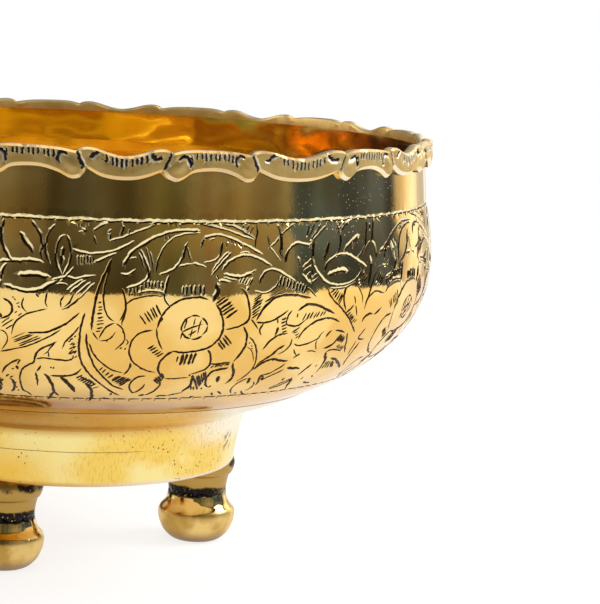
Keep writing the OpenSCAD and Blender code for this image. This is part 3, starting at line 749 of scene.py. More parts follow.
SCROLL = [
    # round scroll with an eye leaf
    (0.6, (68.8, 5.3), (68.2, 7.2), (68, 9), (68, 10.6), (68.5, 12.3), (69.5, 13.8), (71, 15.4),
     (73, 16.8),
     (75.5, 17.7), (78.5, 18.1), (81.5, 17.9), (84.3, 17.2), (86.5, 16), (87.8, 14.6), (88.4, 13.4)),
    (0.5, (74.6, 18.6), (77.5, 18.9), (80.6, 18.8), (83.5, 18.2), (85.2, 17.6)),
    (0.6, (71.9, 14.3), (73.2, 12.1), (75, 10.8), (77, 10), (79.5, 9.7), (82, 10.1), (84.2, 11),
     (86.4, 12),
     (88.4, 13.1), (90.2, 13.9)),
    (1.0, (73.3, 14.8), (76, 14.3), (79, 14), (81.7, 14.3)),
    (0.5, (67.7, 12.8), (67.4, 14.5), (67.6, 16.8)),
    (0.6, (62.6, 9.3), (63.3, 11), (63.6, 12.7)),
    (0.5, (68, 10.1), (66.4, 11.4), (64.3, 12.4)),
    (0.4, (67.6, 11.9), (64.4, 13.6)),
    (0.5, (64.3, 14.2), (65.5, 15.6), (67.4, 17), (70.1, 15.4)),
    (0.4, (65.5, 14.8), (67.1, 13.7)),
    (0.4, (67.9, 15.5), (69.7, 14.3)),
    (0.7, (74.7, 5.8), (73.5, 8), (72.4, 10), (71.9, 11.4)),
    (0.6, (77.8, 0.6), (78.8, 2.5), (79, 4.6), (78.7, 7), (77.8, 8.8), (76.3, 10.3)),
    (0.7, (83.8, 0.7), (81.7, 1.9), (79.5, 3.5)),
    (0.5, (82, 0.6), (79.5, 2.4), (76.9, 4.6)),
    (0.4, (80.2, 0.8), (78.4, 2.2), (77, 3.5)),
    (0.9, (87.7, 4.7), (85, 5.9), (82.5, 7.2), (79.9, 8.9)),
    (0.5, (91.8, 1.2), (91.2, 3.5), (90.6, 5.5), (90.1, 7.4), (88.8, 9), (87, 10.4), (84.8, 11.6)),
    (0.5, (95, 0.9), (94.1, 3), (93.4, 5), (92.9, 6.5), (91.4, 7.4), (90, 8.7), (88, 10.6)),
    (0.4, (93, 1.6), (92.4, 4)),
    (0.6, (92.7, 6.5), (94.3, 7.6), (94.9, 9.4), (94.8, 11.8)),
    (0.7, (91.9, 10.5), (92.2, 13), (91.8, 16), (91, 19.5)),
    (0.9, (102, 7.8), (99.5, 9.2), (96.3, 10.6)),
    (0.6, (97.7, 13.7), (95.6, 15), (93.9, 17), (92.8, 19.4), (91.8, 21.6), (91, 23.9), (90.6, 26)),
    (0.5, (66.1, 17.9), (68, 19.2), (70.2, 21.1)),
    # leaves and stem below the scroll
    (0.6, (74, 18.5), (74.6, 20.2), (76, 21.6), (78, 23.1), (80, 24.4), (82, 25.9), (83.5, 27.1),
     (86, 29),
     (88, 31), (90.5, 33.1)),
    (0.7, (81, 18.4), (80.6, 20.6), (80.7, 22), (81.4, 23.8), (82.5, 25.6)),
    (0.6, (82.6, 26.3), (84.4, 25.3), (85.8, 24)),
    (0.5, (84.8, 21.1), (85.6, 22.7), (86, 24)),
    (0.5, (86, 24), (87, 25.4), (88.1, 27.8)),
    (0.5, (86, 18.5), (87.4, 20), (88.6, 21.6), (89.5, 24.2)),
    (0.6, (91, 24.2), (92, 22.5), (93.6, 21.4), (95.6, 20.9), (98, 21.4), (100.4, 21.9)),
    (0.8, (91.6, 30.1), (92, 28.7), (93.4, 27.7), (95, 27.5), (96.4, 27.9)),
    (0.6, (96.6, 28), (98.4, 27.4), (100.4, 26)),
    (0.6, (77.3, 33.5), (78, 32), (79, 31.2)),
    (0.6, (80.2, 31.1), (83, 31.5), (85.6, 32.5)),
    (0.7, (82.9, 33), (82.2, 35.2), (81, 36.4), (78.3, 37.1)),
    (0.6, (86.3, 32.5), (88, 35.3), (89.5, 38), (91.7, 40.6)),
    (0.5, (80.6, 39.2), (81.8, 38.3), (84, 38.2), (86.5, 38.7), (88.6, 39.4)),
    (0.8, (80.9, 38.8), (82, 40.5), (83.6, 42.2), (84.2, 44), (84.9, 46.5), (85, 48.6)),
    (0.8, (85.8, 41.8), (89, 42.7), (92, 44.2), (95, 46), (98.2, 48.1)),
    (0.7, (78.5, 43.2), (77.3, 46.2), (76.6, 48.8)),
    (0.6, (76, 49.8), (77, 52.6), (78.4, 55), (80.1, 57.6)),
    (0.5, (74.3, 33.4), (74.4, 34.8), (75, 36), (76.2, 37.6)),
    (0.4, (72, 37.5), (74.4, 37.5), (76.6, 38.2)),
    (0.4, (66.5, 35.9), (68, 37.8), (69.6, 39)),
    (0.6, (69.9, 38.2), (67.9, 39.9)),
    (0.6, (95.3, 31.9), (94.2, 33.6), (93.8, 35), (95.4, 35.7), (98, 35.9)),
    (0.6, (93.5, 36), (93.7, 38), (94, 40), (94.7, 42.2)),
    (0.6, (96, 36.6), (95.8, 39), (96, 42), (96.8, 44.5), (98.7, 47.2)),
    (0.7, (71.2, 49), (72.1, 50.6)),
    (0.6, (81.4, 43.8), (82, 45.2)),
    (0.5, (81, 49.8), (81.4, 51.6)),
    (0.5, (84.4, 49.5), (86.6, 51.2)),
    (0.7, (84.3, 52.9), (86.6, 54), (90, 54.8)),
    (0.6, (69.6, 55.3), (72.8, 53.8), (75, 51.6), (76, 49.8)),
    *hatch(0.5, 5, (85.7, 16.8), (88.3, 14), (87.6, 19.6), (90.6, 15.8)),
    *hatch(0.5, 6, (75, 20.2), (77, 18.9), (79, 23.8), (80.4, 20.6)),
    *hatch(0.5, 6, (83.6, 27), (84.9, 25.9), (87.4, 29.8), (88.6, 28.6)),
    *hatch(0.5, 4, (95, 18.8), (97.2, 14.9), (97.2, 20.2), (99.2, 16.8)),
    *hatch(0.55, 6, (82.9, 35.2), (83.4, 32.5), (85.9, 36.1), (86.4, 33.8)),
    *hatch(0.45, 5, (84.5, 37.6), (85.6, 36.4), (87.8, 38.9), (88.8, 37.5)),
    *hatch(0.6, 5, (85.4, 42.6), (86.4, 47), (88.8, 43.4), (92.2, 47)),
    *hatch(0.5, 6, (69.4, 54.6), (70.8, 52.8), (74.8, 50.6), (75.6, 49.2)),
    (0.9, (76.1, 50.3), (77.2, 52.6), (78.5, 55.2)),
]


def pattern_round_the_belly(seam, unsteady):
    """The whole belly's cuts: the pattern is repeated, a little differently each time, and a stroke is
    cut in two where it would cross the seam. Cuts above the belly's widest line, low on the belly and
    in the second flower are broader."""
    near, far = seam + SEAM_MARGIN, seam + WHOLE - SEAM_MARGIN
    cuts = []
    for turn_number in range(-3, 3):
        unsteady.seed(turn_number % REPEATS)
        for group, offset, farthest in (
                (LEAVES, 0, math.inf), (FLOWER, 0, math.inf), (FLOWER, FLOWER_STEP, math.inf),
                (TENDRILS, 0, math.inf), (TENDRILS, FLOWER_STEP, LAST_TENDRIL_X), (SCROLL, 0, math.inf)):
            for width, *points in group:
                if max(x for x, _ in points) > farthest:
                    continue
                dx = turn_number * WHOLE / REPEATS + offset + unsteady.uniform(-SHAKE_X, SHAKE_X)
                ds = unsteady.uniform(-SHAKE_S, SHAKE_S)
                middle_s = sum(s for _, s in points) / len(points)
                upper = max(0, min(1, (WIDEST_S - middle_s) / 2))
                lower = max(0, min(1, (middle_s - LOW_S) / (LOWEST_S - LOW_S)))
                wide = width * unsteady.uniform(0.9, 1.15) * (1.15 + 0.5 * upper)
                wide *= (1.25 if offset else 1) * (1 + 0.4 * lower)
                # Cuts above the widest line get a stronger painted highlight on their broad wall.
                lean, bright = (0, 0.3 + 0.3 * upper), 0.3 + 0.7 * upper
                depth_share = 0.24 + 0.06 * upper
                lead, tail, step = 1.2, 2.4, 1.0
                if len(points) == 2:
                    wide *= 1 - 0.1 * upper
                    lean, lead, tail = (0.5 * upper, 0.3), 0.5, 0.8
                    step = min(1.0, math.dist(*points) / 5 + 0.1)
                curve = curve_through([(x + dx, s + ds) for x, s in points], step)
                run = []
                for p in [*curve, (far + 1, 0)]:
                    if near < p[0] < far:
                        run.append(p)
                    else:
                        if len(run) > 2:
                            cuts.append(GraverCut(
                                wide, run, depth_share, lead, tail, unsteady, lean, bright))
                        run = []
    return cuts


SEAM = -363.0
BORDER_STARTS = SEAM + 1.5
BORDER_ENDS = SEAM + WHOLE - 6
unsteady = random.Random(17)
cuts = pattern_round_the_belly(SEAM, unsteady)
x = BORDER_STARTS
while x < BORDER_ENDS:
    long = unsteady.uniform(4.0, 5.4)
    rise = unsteady.uniform(-0.2, 0.2)
    upper = curve_through([(x, 0.15 + rise), (x + long / 2, 0.1), (x + long, 0.1 - rise)], 1.0)
    cuts.append(GraverCut(
        unsteady.uniform(1.0, 1.25), upper, depth_share=0.3, lead=0.35, tail=1.0, unsteady=unsteady,
        lean=(0, 0.7), bright=1.0))
    x += long - 0.9
x = BORDER_STARTS
while x < BORDER_ENDS:
    long = unsteady.uniform(4.4, 5.4)
    lower = curve_through([(x, 57.2), (x + long, 57.45 + unsteady.uniform(-0.15, 0.1))], 1.0)
    cuts.append(GraverCut(0.75, lower, depth_share=0.24, lead=0.6, tail=1.5, unsteady=unsteady))
    tick = curve_through([(x + 1, 57.6), (x + 1 + unsteady.uniform(-0.3, 0.3), 59)], 0.7)
    cuts.append(GraverCut(0.45, tick, depth_share=0.24, lead=0.3, tail=0.8, unsteady=unsteady))
    x += long - 0.4

BELT_LEVELS = 18
LOOSE_X = 2.4
LOOSE_S = 2.2
outline = [(SEAM + WHOLE * i / AROUND, BELT_TOP) for i in range(AROUND + 1)]
levels = [BELT_TOP + (BELT_FOOT - BELT_TOP) * i / BELT_LEVELS for i in range(1, BELT_LEVELS)]
outline += [(SEAM + WHOLE, s) for s in levels]
outline += [(SEAM + WHOLE * i / AROUND, BELT_FOOT) for i in range(AROUND, -1, -1)]
outline += [(SEAM, s) for s in reversed(levels)]
loose = [
    (SEAM + LOOSE_X * i + 1.5 + 1.2 * (j % 2) + unsteady.uniform(-0.4, 0.4),
     BELT_TOP + LOOSE_S * j + unsteady.uniform(-0.3, 0.3))
    for i in range(int((WHOLE - 3) / LOOSE_X)) for j in range(1, int((BELT_FOOT - BELT_TOP) / LOOSE_S))]


def on_belt(x, s, depth):
    """Position on the belly, which the hammer and the graver have left a little uneven."""
    r, z, out, up = on_belly(s)
    a = FRONT_A + x / BELLY_R
    fade = max(0, min(1, (s - BELT_TOP) / 3, (BELT_FOOT - s) / 3))
    around = Vector((r * math.cos(a), r * math.sin(a), z))
    high = noise.noise(around * 0.13) * 0.06 * fade - depth
    r, z = r + out * high, z + up * high
    return r * math.cos(a) * MM, r * math.sin(a) * MM, z * MM


bowl = CutSheet(cuts, outline, creases=[], loose=loose).build("engraved_bowl", on_belt)


def turn(name, profile, around, start_a=0.0, start_filled=False):
    """A turned surface: a circle at the first point of the profile, (radius, height) in millimetres,
    extruded to each next point and widened or narrowed to it. A last radius of 0 closes it."""
    bpy.ops.object.select_all(action="DESELECT")
    r, z = profile[0]
    bpy.ops.mesh.primitive_circle_add(
        vertices=around, radius=r * MM, fill_type="NGON" if start_filled else "NOTHING",
        location=(0, 0, z * MM), rotation=(0, 0, start_a))
    turned = bpy.context.object
    turned.name = turned.data.name = name
    bpy.ops.object.transform_apply()
    bpy.ops.object.mode_set(mode="EDIT")
    bpy.ops.mesh.select_all(action="SELECT")
    for (r0, z0), (r1, z1) in zip(profile, profile[1:]):
        bpy.ops.mesh.extrude_edges_move(TRANSFORM_OT_translate={"value": (0, 0, (z1 - z0) * MM)})
        if r1 == 0:
            bpy.ops.mesh.merge(type="CENTER")
        else:
            bpy.ops.transform.resize(value=(r1 / r0, r1 / r0, 1), center_override=(0, 0, z1 * MM))
    bpy.ops.object.mode_set(mode="OBJECT")
    return turned


def close_shell(piece, threshold):
    """Merges what lies together and turns the faces outwards."""
    bpy.ops.object.mode_set(mode="EDIT")
    bpy.ops.mesh.select_all(action="SELECT")
    bpy.ops.mesh.remove_doubles(threshold=threshold * MM)
    bpy.ops.mesh.normals_make_consistent(inside=False)
    bpy.ops.object.mode_set(mode="OBJECT")


INSIDE_PARTS = 40
end_s = line_s[-1] - 1e-6
profile = [on_belly(BELT_TOP - (BELT_TOP - line_s[0]) * i / 5)[:2] for i in range(6)]
profile += [(BAND_R, LIP_Z), (BAND_R - SHEET, LIP_Z)]
for i in range(INSIDE_PARTS + 1):
    r, z, out, up = on_belly(line_s[0] + (end_s - line_s[0]) * i / INSIDE_PARTS)
    profile.append((r - SHEET * out, z - SHEET * up))
profile += [on_belly(end_s + (BELT_FOOT - end_s) * i / 8)[:2] for i in range(9)]
turn("bowl_shell", profile, AROUND, FRONT_A + SEAM / BELLY_R)
bowl.select_set(True)
bpy.context.view_layer.objects.active = bowl
bpy.ops.object.join()
close_shell(bowl, threshold=0.01)
bpy.ops.object.shade_smooth_by_angle(angle=math.radians(14))


def cloud(place, scale, detail=2.0):
    """Soft noise at a position in the metal; a larger scale makes it finer."""
    return place.node(
        "ShaderNodeTexNoise", inputs={"Vector": place, "Scale": scale, "Detail": detail})


def brass_shader(start, colour, roughness, normal=None):
    """Bare metal of that colour and roughness as the finish's surface."""
    inputs = {"Base Color": colour, "Metallic": 1.0, "Roughness": roughness}
    if normal:
        inputs["Normal"] = normal
    start.node("ShaderNodeOutputMaterial", inputs={
        "Surface": start.node("ShaderNodeBsdfPrincipled", inputs=inputs)})


finish, start = new_finish("engraved_brass")
place = start.node("ShaderNodeTexCoord", output=3)
wax = start.node("ShaderNodeAttribute", {"attribute_name": "wax"}, output=2)
wall = start.node("ShaderNodeAttribute", {"attribute_name": "wall"}, output=2)
x, z = [
    start.node("ShaderNodeSeparateXYZ", inputs={"Vector": place}, output=axis) * 1000 for axis in (0, 2)]
blotches = cloud(place, 50, detail=3.0)
brass = blotches.rise(0.38, 0.62).mix((0.97, 0.68, 0.24, 1), (0.86, 0.52, 0.13, 1))
# Painted shade: low on the belly the colour turns brown, darker towards the left.
painted_shade_tone = x.rise(10, 55).mix((0.36, 0.13, 0.006, 1), (0.76, 0.4, 0.07, 1))
brass = (z + blotches * 16).rise(72, 60).mix(brass, painted_shade_tone)
# Painted highlight: the broad walls of bright cuts are painted a pale cream, as if they caught the light.
ribbon = wall.rise(0.5, 0.9)
painted_highlight = ribbon.mix(brass, (1.0, 0.84, 0.45, 1))
edges_of_ribbon = wax.math("MAXIMUM", wax.rise(0.6, 0.78), (1 - wax).rise(0.88, 0.96) * 0.6)
darkened = wax.rise(0.15, 0.45) * (1 - ribbon) + ribbon * edges_of_ribbon
colour = darkened.mix(painted_highlight, (0.045, 0.024, 0.011, 1))
scratches = cloud(
    start.node("ShaderNodeMapping", inputs={"Vector": place, "Scale": (1, 1, 0.4)}), 2300)
bump = start.node("ShaderNodeBump", inputs={"Height": scratches, "Strength": 0.05, "Distance": 0.0002})
cells = start.node("ShaderNodeTexVoronoi", inputs={"Vector": place, "Scale": 800})
dust = cells.rise(0.24, 0.1) * x.rise(20, 60) * cloud(place, 70).rise(0.4, 0.6)
brass_shader(start, colour, 0.035 + 0.05 * blotches + 0.35 * darkened + 0.15 * ribbon + 0.3 * dust, bump)
bowl.data.materials.append(finish)

finish, start = new_finish("bowl_inside_brass")
place = start.node("ShaderNodeTexCoord", output=3)
ripples = cloud(
    start.node("ShaderNodeMapping", inputs={"Vector": place, "Scale": (1, 1, 1.6)}), 26, detail=2.0)
colour = ripples.rise(0.38, 0.62).mix((0.95, 0.67, 0.07, 1), (0.84, 0.56, 0.05, 1))
x, z = [
    start.node("ShaderNodeSeparateXYZ", inputs={"Vector": place}, output=axis) * 1000 for axis in (0, 2)]
# Painted reflections on the inner wall: a darker amber band and a pale cream patch towards the right. Low
# down inside, dark brown is painted shade.
colour = (x.rise(60, 74) * x.rise(94, 86)).mix(colour, (0.72, 0.5, 0.1, 1))
colour = x.rise(86, 96).mix(colour, (1.0, 0.8, 0.5, 1))
colour = z.rise(111, 109).mix(colour, (0.36, 0.19, 0.012, 1))
bump = start.node("ShaderNodeBump", inputs={"Height": ripples, "Strength": 1.0, "Distance": 0.0045})
brass_shader(start, colour, 0.14 + 0.1 * ripples, bump)
bowl.data.materials.append(finish)
for face in bowl.data.polygons:
    middle = face.center
    if middle.xy.length < (BAND_R - SHEET / 2) * MM and Vector((*middle.xy, 0)).dot(face.normal) < 0:
        face.material_index = 1
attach(bowl, "root")
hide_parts("bowl_body")


# Scroll rim: one cast strip that sits on the lip and hangs over it on the outside. Drooping and arched
# scrolls take turns. The caster filed the bevels and cut the ticks, commas and grooves with a chisel.
RIM_FACE_R = 105.95
RIM_FACE_OUT = 0.15
RIM_OVER = 3.2
RIM_DROP = 5.1
SCROLL_DIP = 2.1
SCROLL_SLANT = 1.2
TOP_BEVEL = 0.6
LOW_BEVEL = 1.0
RIM_GAP = 0.05
RIM_START_A = math.radians(-93.8)
RIM_ROUND = math.tau * RIM_FACE_R
LOBE_R = 2.4
LOBE_HIGH = 0.25
SCROLL_WIDTHS = [
    0.87, 0.97, 1.17, 0.94, 0.88, 1.02, 1.05, 0.98, 1.00, 1.03, 0.96, 1.04, 1.00,
    0.99, 1.05, 1.01, 0.97, 1.03, 1.00, 1.02, 0.98, 1.04, 1.00, 0.99, 1.01, 1.00]
DROOP_TOP = [
    (0, 0.35), (0.03, 0.12), (0.1, 0), (0.2, 0.15), (0.35, 0.7), (0.5, 1),
    (0.65, 0.7), (0.8, 0.15), (0.9, 0), (0.97, 0.12), (1, 0.35)]
ARCH_TOP = [
    (0, 0.5), (0.04, 0.35), (0.15, 0.1), (0.3, 0), (0.6, 0.05), (0.8, 0.2), (0.92, 0.4), (1, 0.55)]
DROOP_HANG = [
    (0, 0.42), (0.08, 0.6), (0.2, 0.83), (0.35, 0.95), (0.5, 0.98),
    (0.65, 0.94), (0.8, 0.8), (0.92, 0.62), (1, 0.5)]
ARCH_HANG = [
    (0, 0.5), (0.04, 0.8), (0.13, 1), (0.21, 0.86), (0.3, 0.55), (0.45, 0.44),
    (0.6, 0.47), (0.75, 0.7), (0.86, 0.98), (0.95, 0.9), (1, 0.5)]


def smooth_table(table):
    """The table's values at 101 even shares, on a smooth curve through them."""
    curve = curve_through(table, 0.01)
    places = [u for u, _ in curve]
    values = []
    for i in range(101):
        k = max(1, min(len(curve) - 1, bisect.bisect_left(places, i / 100)))
        (u0, v0), (u1, v1) = curve[k - 1], curve[k]
        values.append(v0 + (v1 - v0) * (i / 100 - u0) / (u1 - u0))
    return values


edges_of_scroll = {
    "droop": (smooth_table(DROOP_TOP), smooth_table(DROOP_HANG)),
    "arch": (smooth_table(ARCH_TOP), smooth_table(ARCH_HANG))}
starts = [0.0]
for share in SCROLL_WIDTHS * 2:
    starts.append(starts[-1] + share * RIM_ROUND / sum(SCROLL_WIDTHS))


def scroll_at(x):
    """Kind of the scroll at distance x round the face, and the share of its width there."""
    k = min(bisect.bisect_right(starts, x) - 1, len(starts) - 2)
    return ("arch" if k % 2 else "droop"), (x - starts[k]) / (starts[k + 1] - starts[k])


def rim_heights(x):
    """Heights of the border's top and lower edge at distance x."""
    kind, u = scroll_at(x)
    i = min(int(u * 100), 99)
    dip, hang = [
        values[i] + (values[i + 1] - values[i]) * (u * 100 - i) for values in edges_of_scroll[kind]]
    return LIP_Z + RIM_OVER - SCROLL_DIP * dip, LIP_Z - RIM_DROP * hang


def leaned(x, z):
    """Distance round the face once the scrolls' ends lean, with their lower points towards the lobes."""
    kind, u = scroll_at(x)
    top, low = rim_heights(x)
    side = 1 - 2 * u if kind == "droop" else 2 * u - 1
    return x + side * (1 - 2 * (z - low) / (top - low)) * SCROLL_SLANT


def rim_point(x, r, z):
    a = RIM_START_A + leaned(x, z) / RIM_FACE_R
    return r * math.cos(a) * MM, r * math.sin(a) * MM, z * MM


TOP_SLOPE = TOP_BEVEL * math.sqrt(2)
LOW_SLOPE = LOW_BEVEL * math.sqrt(2)


def bevel_lines(x):
    """Distances down the section from the top edge to where the face starts, where it ends and the low
    edge."""
    top, low = rim_heights(x)
    face_end = TOP_SLOPE + top - low - TOP_BEVEL - LOW_BEVEL
    return TOP_SLOPE, face_end, face_end + LOW_SLOPE


def on_rim(x, down, depth):
    """Position on the border's front, down the top bevel, the face and the low bevel."""
    top, low = rim_heights(x)
    face_start, face_end, low_edge = bevel_lines(x)
    depth *= max(0, min(1, down / 0.1, (low_edge - down) / 0.1))
    r = RIM_FACE_R + RIM_FACE_OUT
    if down < face_start:
        t = down / face_start
        out, up = 0.7, 0.7
        r, z = r - TOP_BEVEL * (1 - t), top - TOP_BEVEL * t
    elif down < face_end:
        t = (down - face_start) / (face_end - face_start)
        out, up = 1, 0
        z = top - TOP_BEVEL - (down - face_start)
        for centre_x, centre_down in lobes:
            near = math.dist((x, down), (centre_x, centre_down)) / LOBE_R
            if near < 1:
                r += LOBE_HIGH * (1 - near ** 2) ** 2 * min(1, 4 * t, 4 * (1 - t))
    else:
        t = (down - face_end) / (low_edge - face_end)
        out, up = 0.7, -0.7
        r, z = r - LOW_BEVEL * t, low + LOW_BEVEL * (1 - t)
    return rim_point(x, r - out * depth, z - up * depth)


# The chisel's marks on one scroll of each kind: width, way the floor leans, then points, each a share of
# the scroll's width and millimetres below its top edge.
ARCH_MARKS = [
    (1.4, (0.4, -0.4), (0.09, 2.3), (0.16, 2.0), (0.21, 2.8), (0.244, 4.0), (0.25, 5.1)),
    (1.3, (-0.45, -0.2), (0.885, 1.5), (0.825, 1.3), (0.78, 2.2), (0.765, 3.3), (0.785, 4.4)),
    (0.7, (-0.4, 0), (0.235, 1.2), (0.27, 3.6)),
    (0.5, (0, 0.3), (0.14, 1.3), (0.165, 1.4)),
    (0.5, (0, 0.3), (0.18, 1.3), (0.2, 1.6))]
DROOP_MARKS = [
    (1.2, (0.1, -0.45), (0.225, 0.7), (0.175, 1.9), (0.13, 2.8), (0.08, 2.9)),
    (1.4, (0.35, -0.35), (0.775, 0.6), (0.79, 1.8), (0.85, 2.9), (0.935, 2.6)),
    (0.5, (0, 0.3), (0.252, 1.0), (0.25, 1.5)),
    (0.5, (0, 0.3), (0.248, 2.3), (0.245, 2.8))]

TICK_STEP = 1.3
scroll_count = len(SCROLL_WIDTHS)
unsteady = random.Random(5)
first_scroll = 13
near_x = (starts[first_scroll] + starts[first_scroll + 1]) / 2
far_x = near_x + RIM_ROUND
cuts, lobes = [], []
for k in range(first_scroll, first_scroll + scroll_count + 1):
    kind = "arch" if k % 2 else "droop"
    start_x, width = starts[k], starts[k + 1] - starts[k]
    unsteady.seed(k % scroll_count)
    marks = []
    for wide, lean, *points in (ARCH_MARKS if kind == "arch" else DROOP_MARKS):
        marks.append((wide, lean, 0.5, 0.8, [
            (u + unsteady.uniform(-0.006, 0.006), down + unsteady.uniform(-0.12, 0.12))
            for u, down in points]))
    first, last = (0.31, 0.735) if kind == "arch" else (0.3, 0.745)
    ticks = round((last - first) * width / TICK_STEP)
    for i in range(ticks + 1):
        u = first + (last - first) * (i + unsteady.uniform(-0.15, 0.15)) / ticks
        slant = (0.5 - u) * (0.035 if kind == "droop" else -0.03)
        high, deep = 0.75 + unsteady.uniform(-0.1, 0.15), 3.25 + unsteady.uniform(-0.4, 0.4)
        if kind == "arch":
            deep -= 0.25
        marks.append((unsteady.uniform(0.9, 1.12), (-0.4, 0), 0.2, 0.4, [
            (u + slant, high), (u + unsteady.uniform(-0.004, 0.004), (high + deep) / 2),
            (u - slant, deep)]))
    for wide, lean, lead, tail, points in marks:
        curve = curve_through([(start_x + u * width, down) for u, down in points], 0.5)
        if all(near_x + SEAM_MARGIN < x < far_x - SEAM_MARGIN for x, _ in curve):
            cuts.append(GraverCut(
                wide, curve, depth_share=0.38, lead=lead, tail=tail, unsteady=unsteady, lean=lean,
                bright=1.0))
    if k > first_scroll:
        end_x = start_x + 0.01
        _, _, low_edge = bevel_lines(end_x)
        curve = curve_through([
            (end_x, 0.12), (end_x + unsteady.uniform(-0.15, 0.15), low_edge / 2),
            (end_x, low_edge - 0.12)], 0.5)
        cuts.append(GraverCut(
            unsteady.uniform(0.9, 1.2), curve, depth_share=0.5, lead=0.25, tail=0.25, unsteady=unsteady,
            lean=(-0.35, 0), bright=0.8))
    if kind == "arch":
        lobes += [(start_x + 0.128 * width, 4.3), (start_x + 0.895 * width, 4.1)]

STATIONS_A_SCROLL = 28
stations = [near_x]
for k in range(first_scroll, first_scroll + scroll_count + 1):
    for i in range(STATIONS_A_SCROLL):
        x = starts[k] + (starts[k + 1] - starts[k]) * (i + 0.5) / STATIONS_A_SCROLL
        if near_x + 0.2 < x < far_x - 0.2:
            stations.append(x)
stations.append(far_x)
face_start, face_end, _ = bevel_lines(near_x)
side = [
    face_start, face_start + (face_end - face_start) / 3,
    face_start + (face_end - face_start) / 1.5, face_end]
outline = [(x, 0) for x in stations]
outline += [(far_x, down) for down in side]
outline += [(x, bevel_lines(x)[2]) for x in reversed(stations)]
outline += [(near_x, down) for down in reversed(side)]
creases = [[(x, bevel_lines(x)[i]) for x in stations] for i in (0, 1)]
FACE_STEP = 0.8
loose = [
    (near_x + FACE_STEP * i + FACE_STEP / 2 + FACE_STEP / 2 * (j % 2), face_start + FACE_STEP * j)
    for i in range(int(RIM_ROUND / FACE_STEP) - 1) for j in range(1, 9)]
loose = [(x, down) for x, down in loose if down < bevel_lines(x)[1] - 0.4]


def low_edge_at(x):
    """The low edge as the sheet has it, straight from station to station."""
    k = max(1, min(len(stations) - 1, bisect.bisect_left(stations, x)))
    near, far = [bevel_lines(stations[i])[2] for i in (k - 1, k)]
    return near + (far - near) * (x - stations[k - 1]) / (stations[k] - stations[k - 1])


rim = CutSheet(cuts, outline, creases, loose, low_edge_at).build("cast_scroll_rim", on_rim)

rows = []
for x in stations:
    top, low = rim_heights(x)
    face = RIM_FACE_R + RIM_FACE_OUT
    lip = BAND_R - SHEET
    back = BAND_R + RIM_GAP
    rows.append([rim_point(x, r, z) for r, z in (
        (face - TOP_BEVEL, top), (lip + 0.9, top), (lip + 0.25, top - 0.25), (lip, top - 0.9),
        (lip, LIP_Z + RIM_GAP), (back, LIP_Z + RIM_GAP), (back, low), (face - LOW_BEVEL, low))])
mesh = bpy.data.meshes.new("rim_back")
across = len(rows[0])
mesh.from_pydata([p for row in rows for p in row], [], [
    (across * i + j, across * i + j + 1, across * (i + 1) + j + 1, across * (i + 1) + j)
    for i in range(len(rows) - 1) for j in range(across - 1)])
back_of_rim = bpy.data.objects.new("rim_back", mesh)
scene.collection.objects.link(back_of_rim)
bpy.ops.object.select_all(action="DESELECT")
back_of_rim.select_set(True)
rim.select_set(True)
bpy.context.view_layer.objects.active = rim
bpy.ops.object.join()
close_shell(rim, threshold=0.006)
bpy.ops.object.shade_smooth_by_angle(angle=math.radians(22))

finish, start = new_finish("chased_brass")
place = start.node("ShaderNodeTexCoord", output=3)
wax = start.node("ShaderNodeAttribute", {"attribute_name": "wax"}, output=2)
wall = start.node("ShaderNodeAttribute", {"attribute_name": "wall"}, output=2)
blotches = cloud(place, 130, detail=3.0)
brass = blotches.rise(0.3, 0.7).mix((0.86, 0.62, 0.24, 1), (0.68, 0.45, 0.14, 1))
outwards = start.node("ShaderNodeNewGeometry", output=1)
facing = start.node("ShaderNodeSeparateXYZ", inputs={"Vector": outwards}, output=2)
# Painted highlight: the bevels, found by how steeply they face up or down, and the broad walls of the
# chisel marks are painted pale. Surfaces facing partly up, as the top bevel, are painted a deeper gold.
bevels = facing.math("ABSOLUTE", facing).rise(0.35, 0.6)
painted_highlight_mask = wall.math("MAXIMUM", wall, bevels * 0.95)
painted_highlight = painted_highlight_mask.mix(brass, (1.0, 0.86, 0.58, 1))
painted_highlight = (facing.rise(0.3, 0.6) * facing.rise(0.98, 0.9)).mix(painted_highlight, (0.58, 0.38, 0.155, 1))
# Painted shade: the faces turned downwards are painted as dark as the wax in the marks, so the band below
# mirrors a dark line.
darkened = wax.math("MAXIMUM", wax.rise(0.3, 0.7), facing.rise(-0.75, -0.95))
colour = darkened.mix(painted_highlight, (0.06, 0.055, 0.06, 1))
bump = start.node("ShaderNodeBump", inputs={
    "Height": cloud(place, 700), "Strength": 0.12, "Distance": 0.0004})
brass_shader(start, colour, 0.38 + 0.14 * blotches + 0.2 * darkened - 0.15 * bevels, bump)
rim.data.materials.append(finish)
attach(rim, "root")
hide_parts("scroll_rim")


# Drum: cast and turned, with a wall that flares at a crease into a thin collar. The collar laps up under
# the belly, where it is soldered on, and the feet are screwed to the drum's floor.
SOLDER = 0.05
FLOOR_Z = 26.8
FLOOR_T = 1.5
WALL_T = 1.2
DRUM_LOW_R = 51
WAVE_HIGH = 0.05
CORNER_R = 1.6
INNER_CORNER_R = 0.4
COLLAR_EDGE_S = 71.2
COLLAR_EDGE_T = 0.04
COLLAR_EDGE_GAP = 0.02
FOOT_CIRCLE_R = 40.6
SCREW_HOLE_R = 2.2
DRUM_AROUND = 192


def rounded_edge(r, inset, rise):
    """Rounding of radius r between the floor's underside and the wall."""
    return [
        (DRUM_LOW_R - inset - r + r * math.sin(a), FLOOR_Z + rise + r - r * math.cos(a))
        for a in (math.radians(10 * i) for i in range(10))]


def under_collar(gap, s_from, s_to, parts=16):
    """Points below the belly's underside; gap gives the distance from it at the start and the end."""
    points = []
    for i in range(parts + 1):
        r, z, out, up = on_belly(s_from + (s_to - s_from) * i / parts)
        away = gap[0] + (gap[1] - gap[0]) * i / parts
        points.append((r + out * away, z + up * away))
    return points


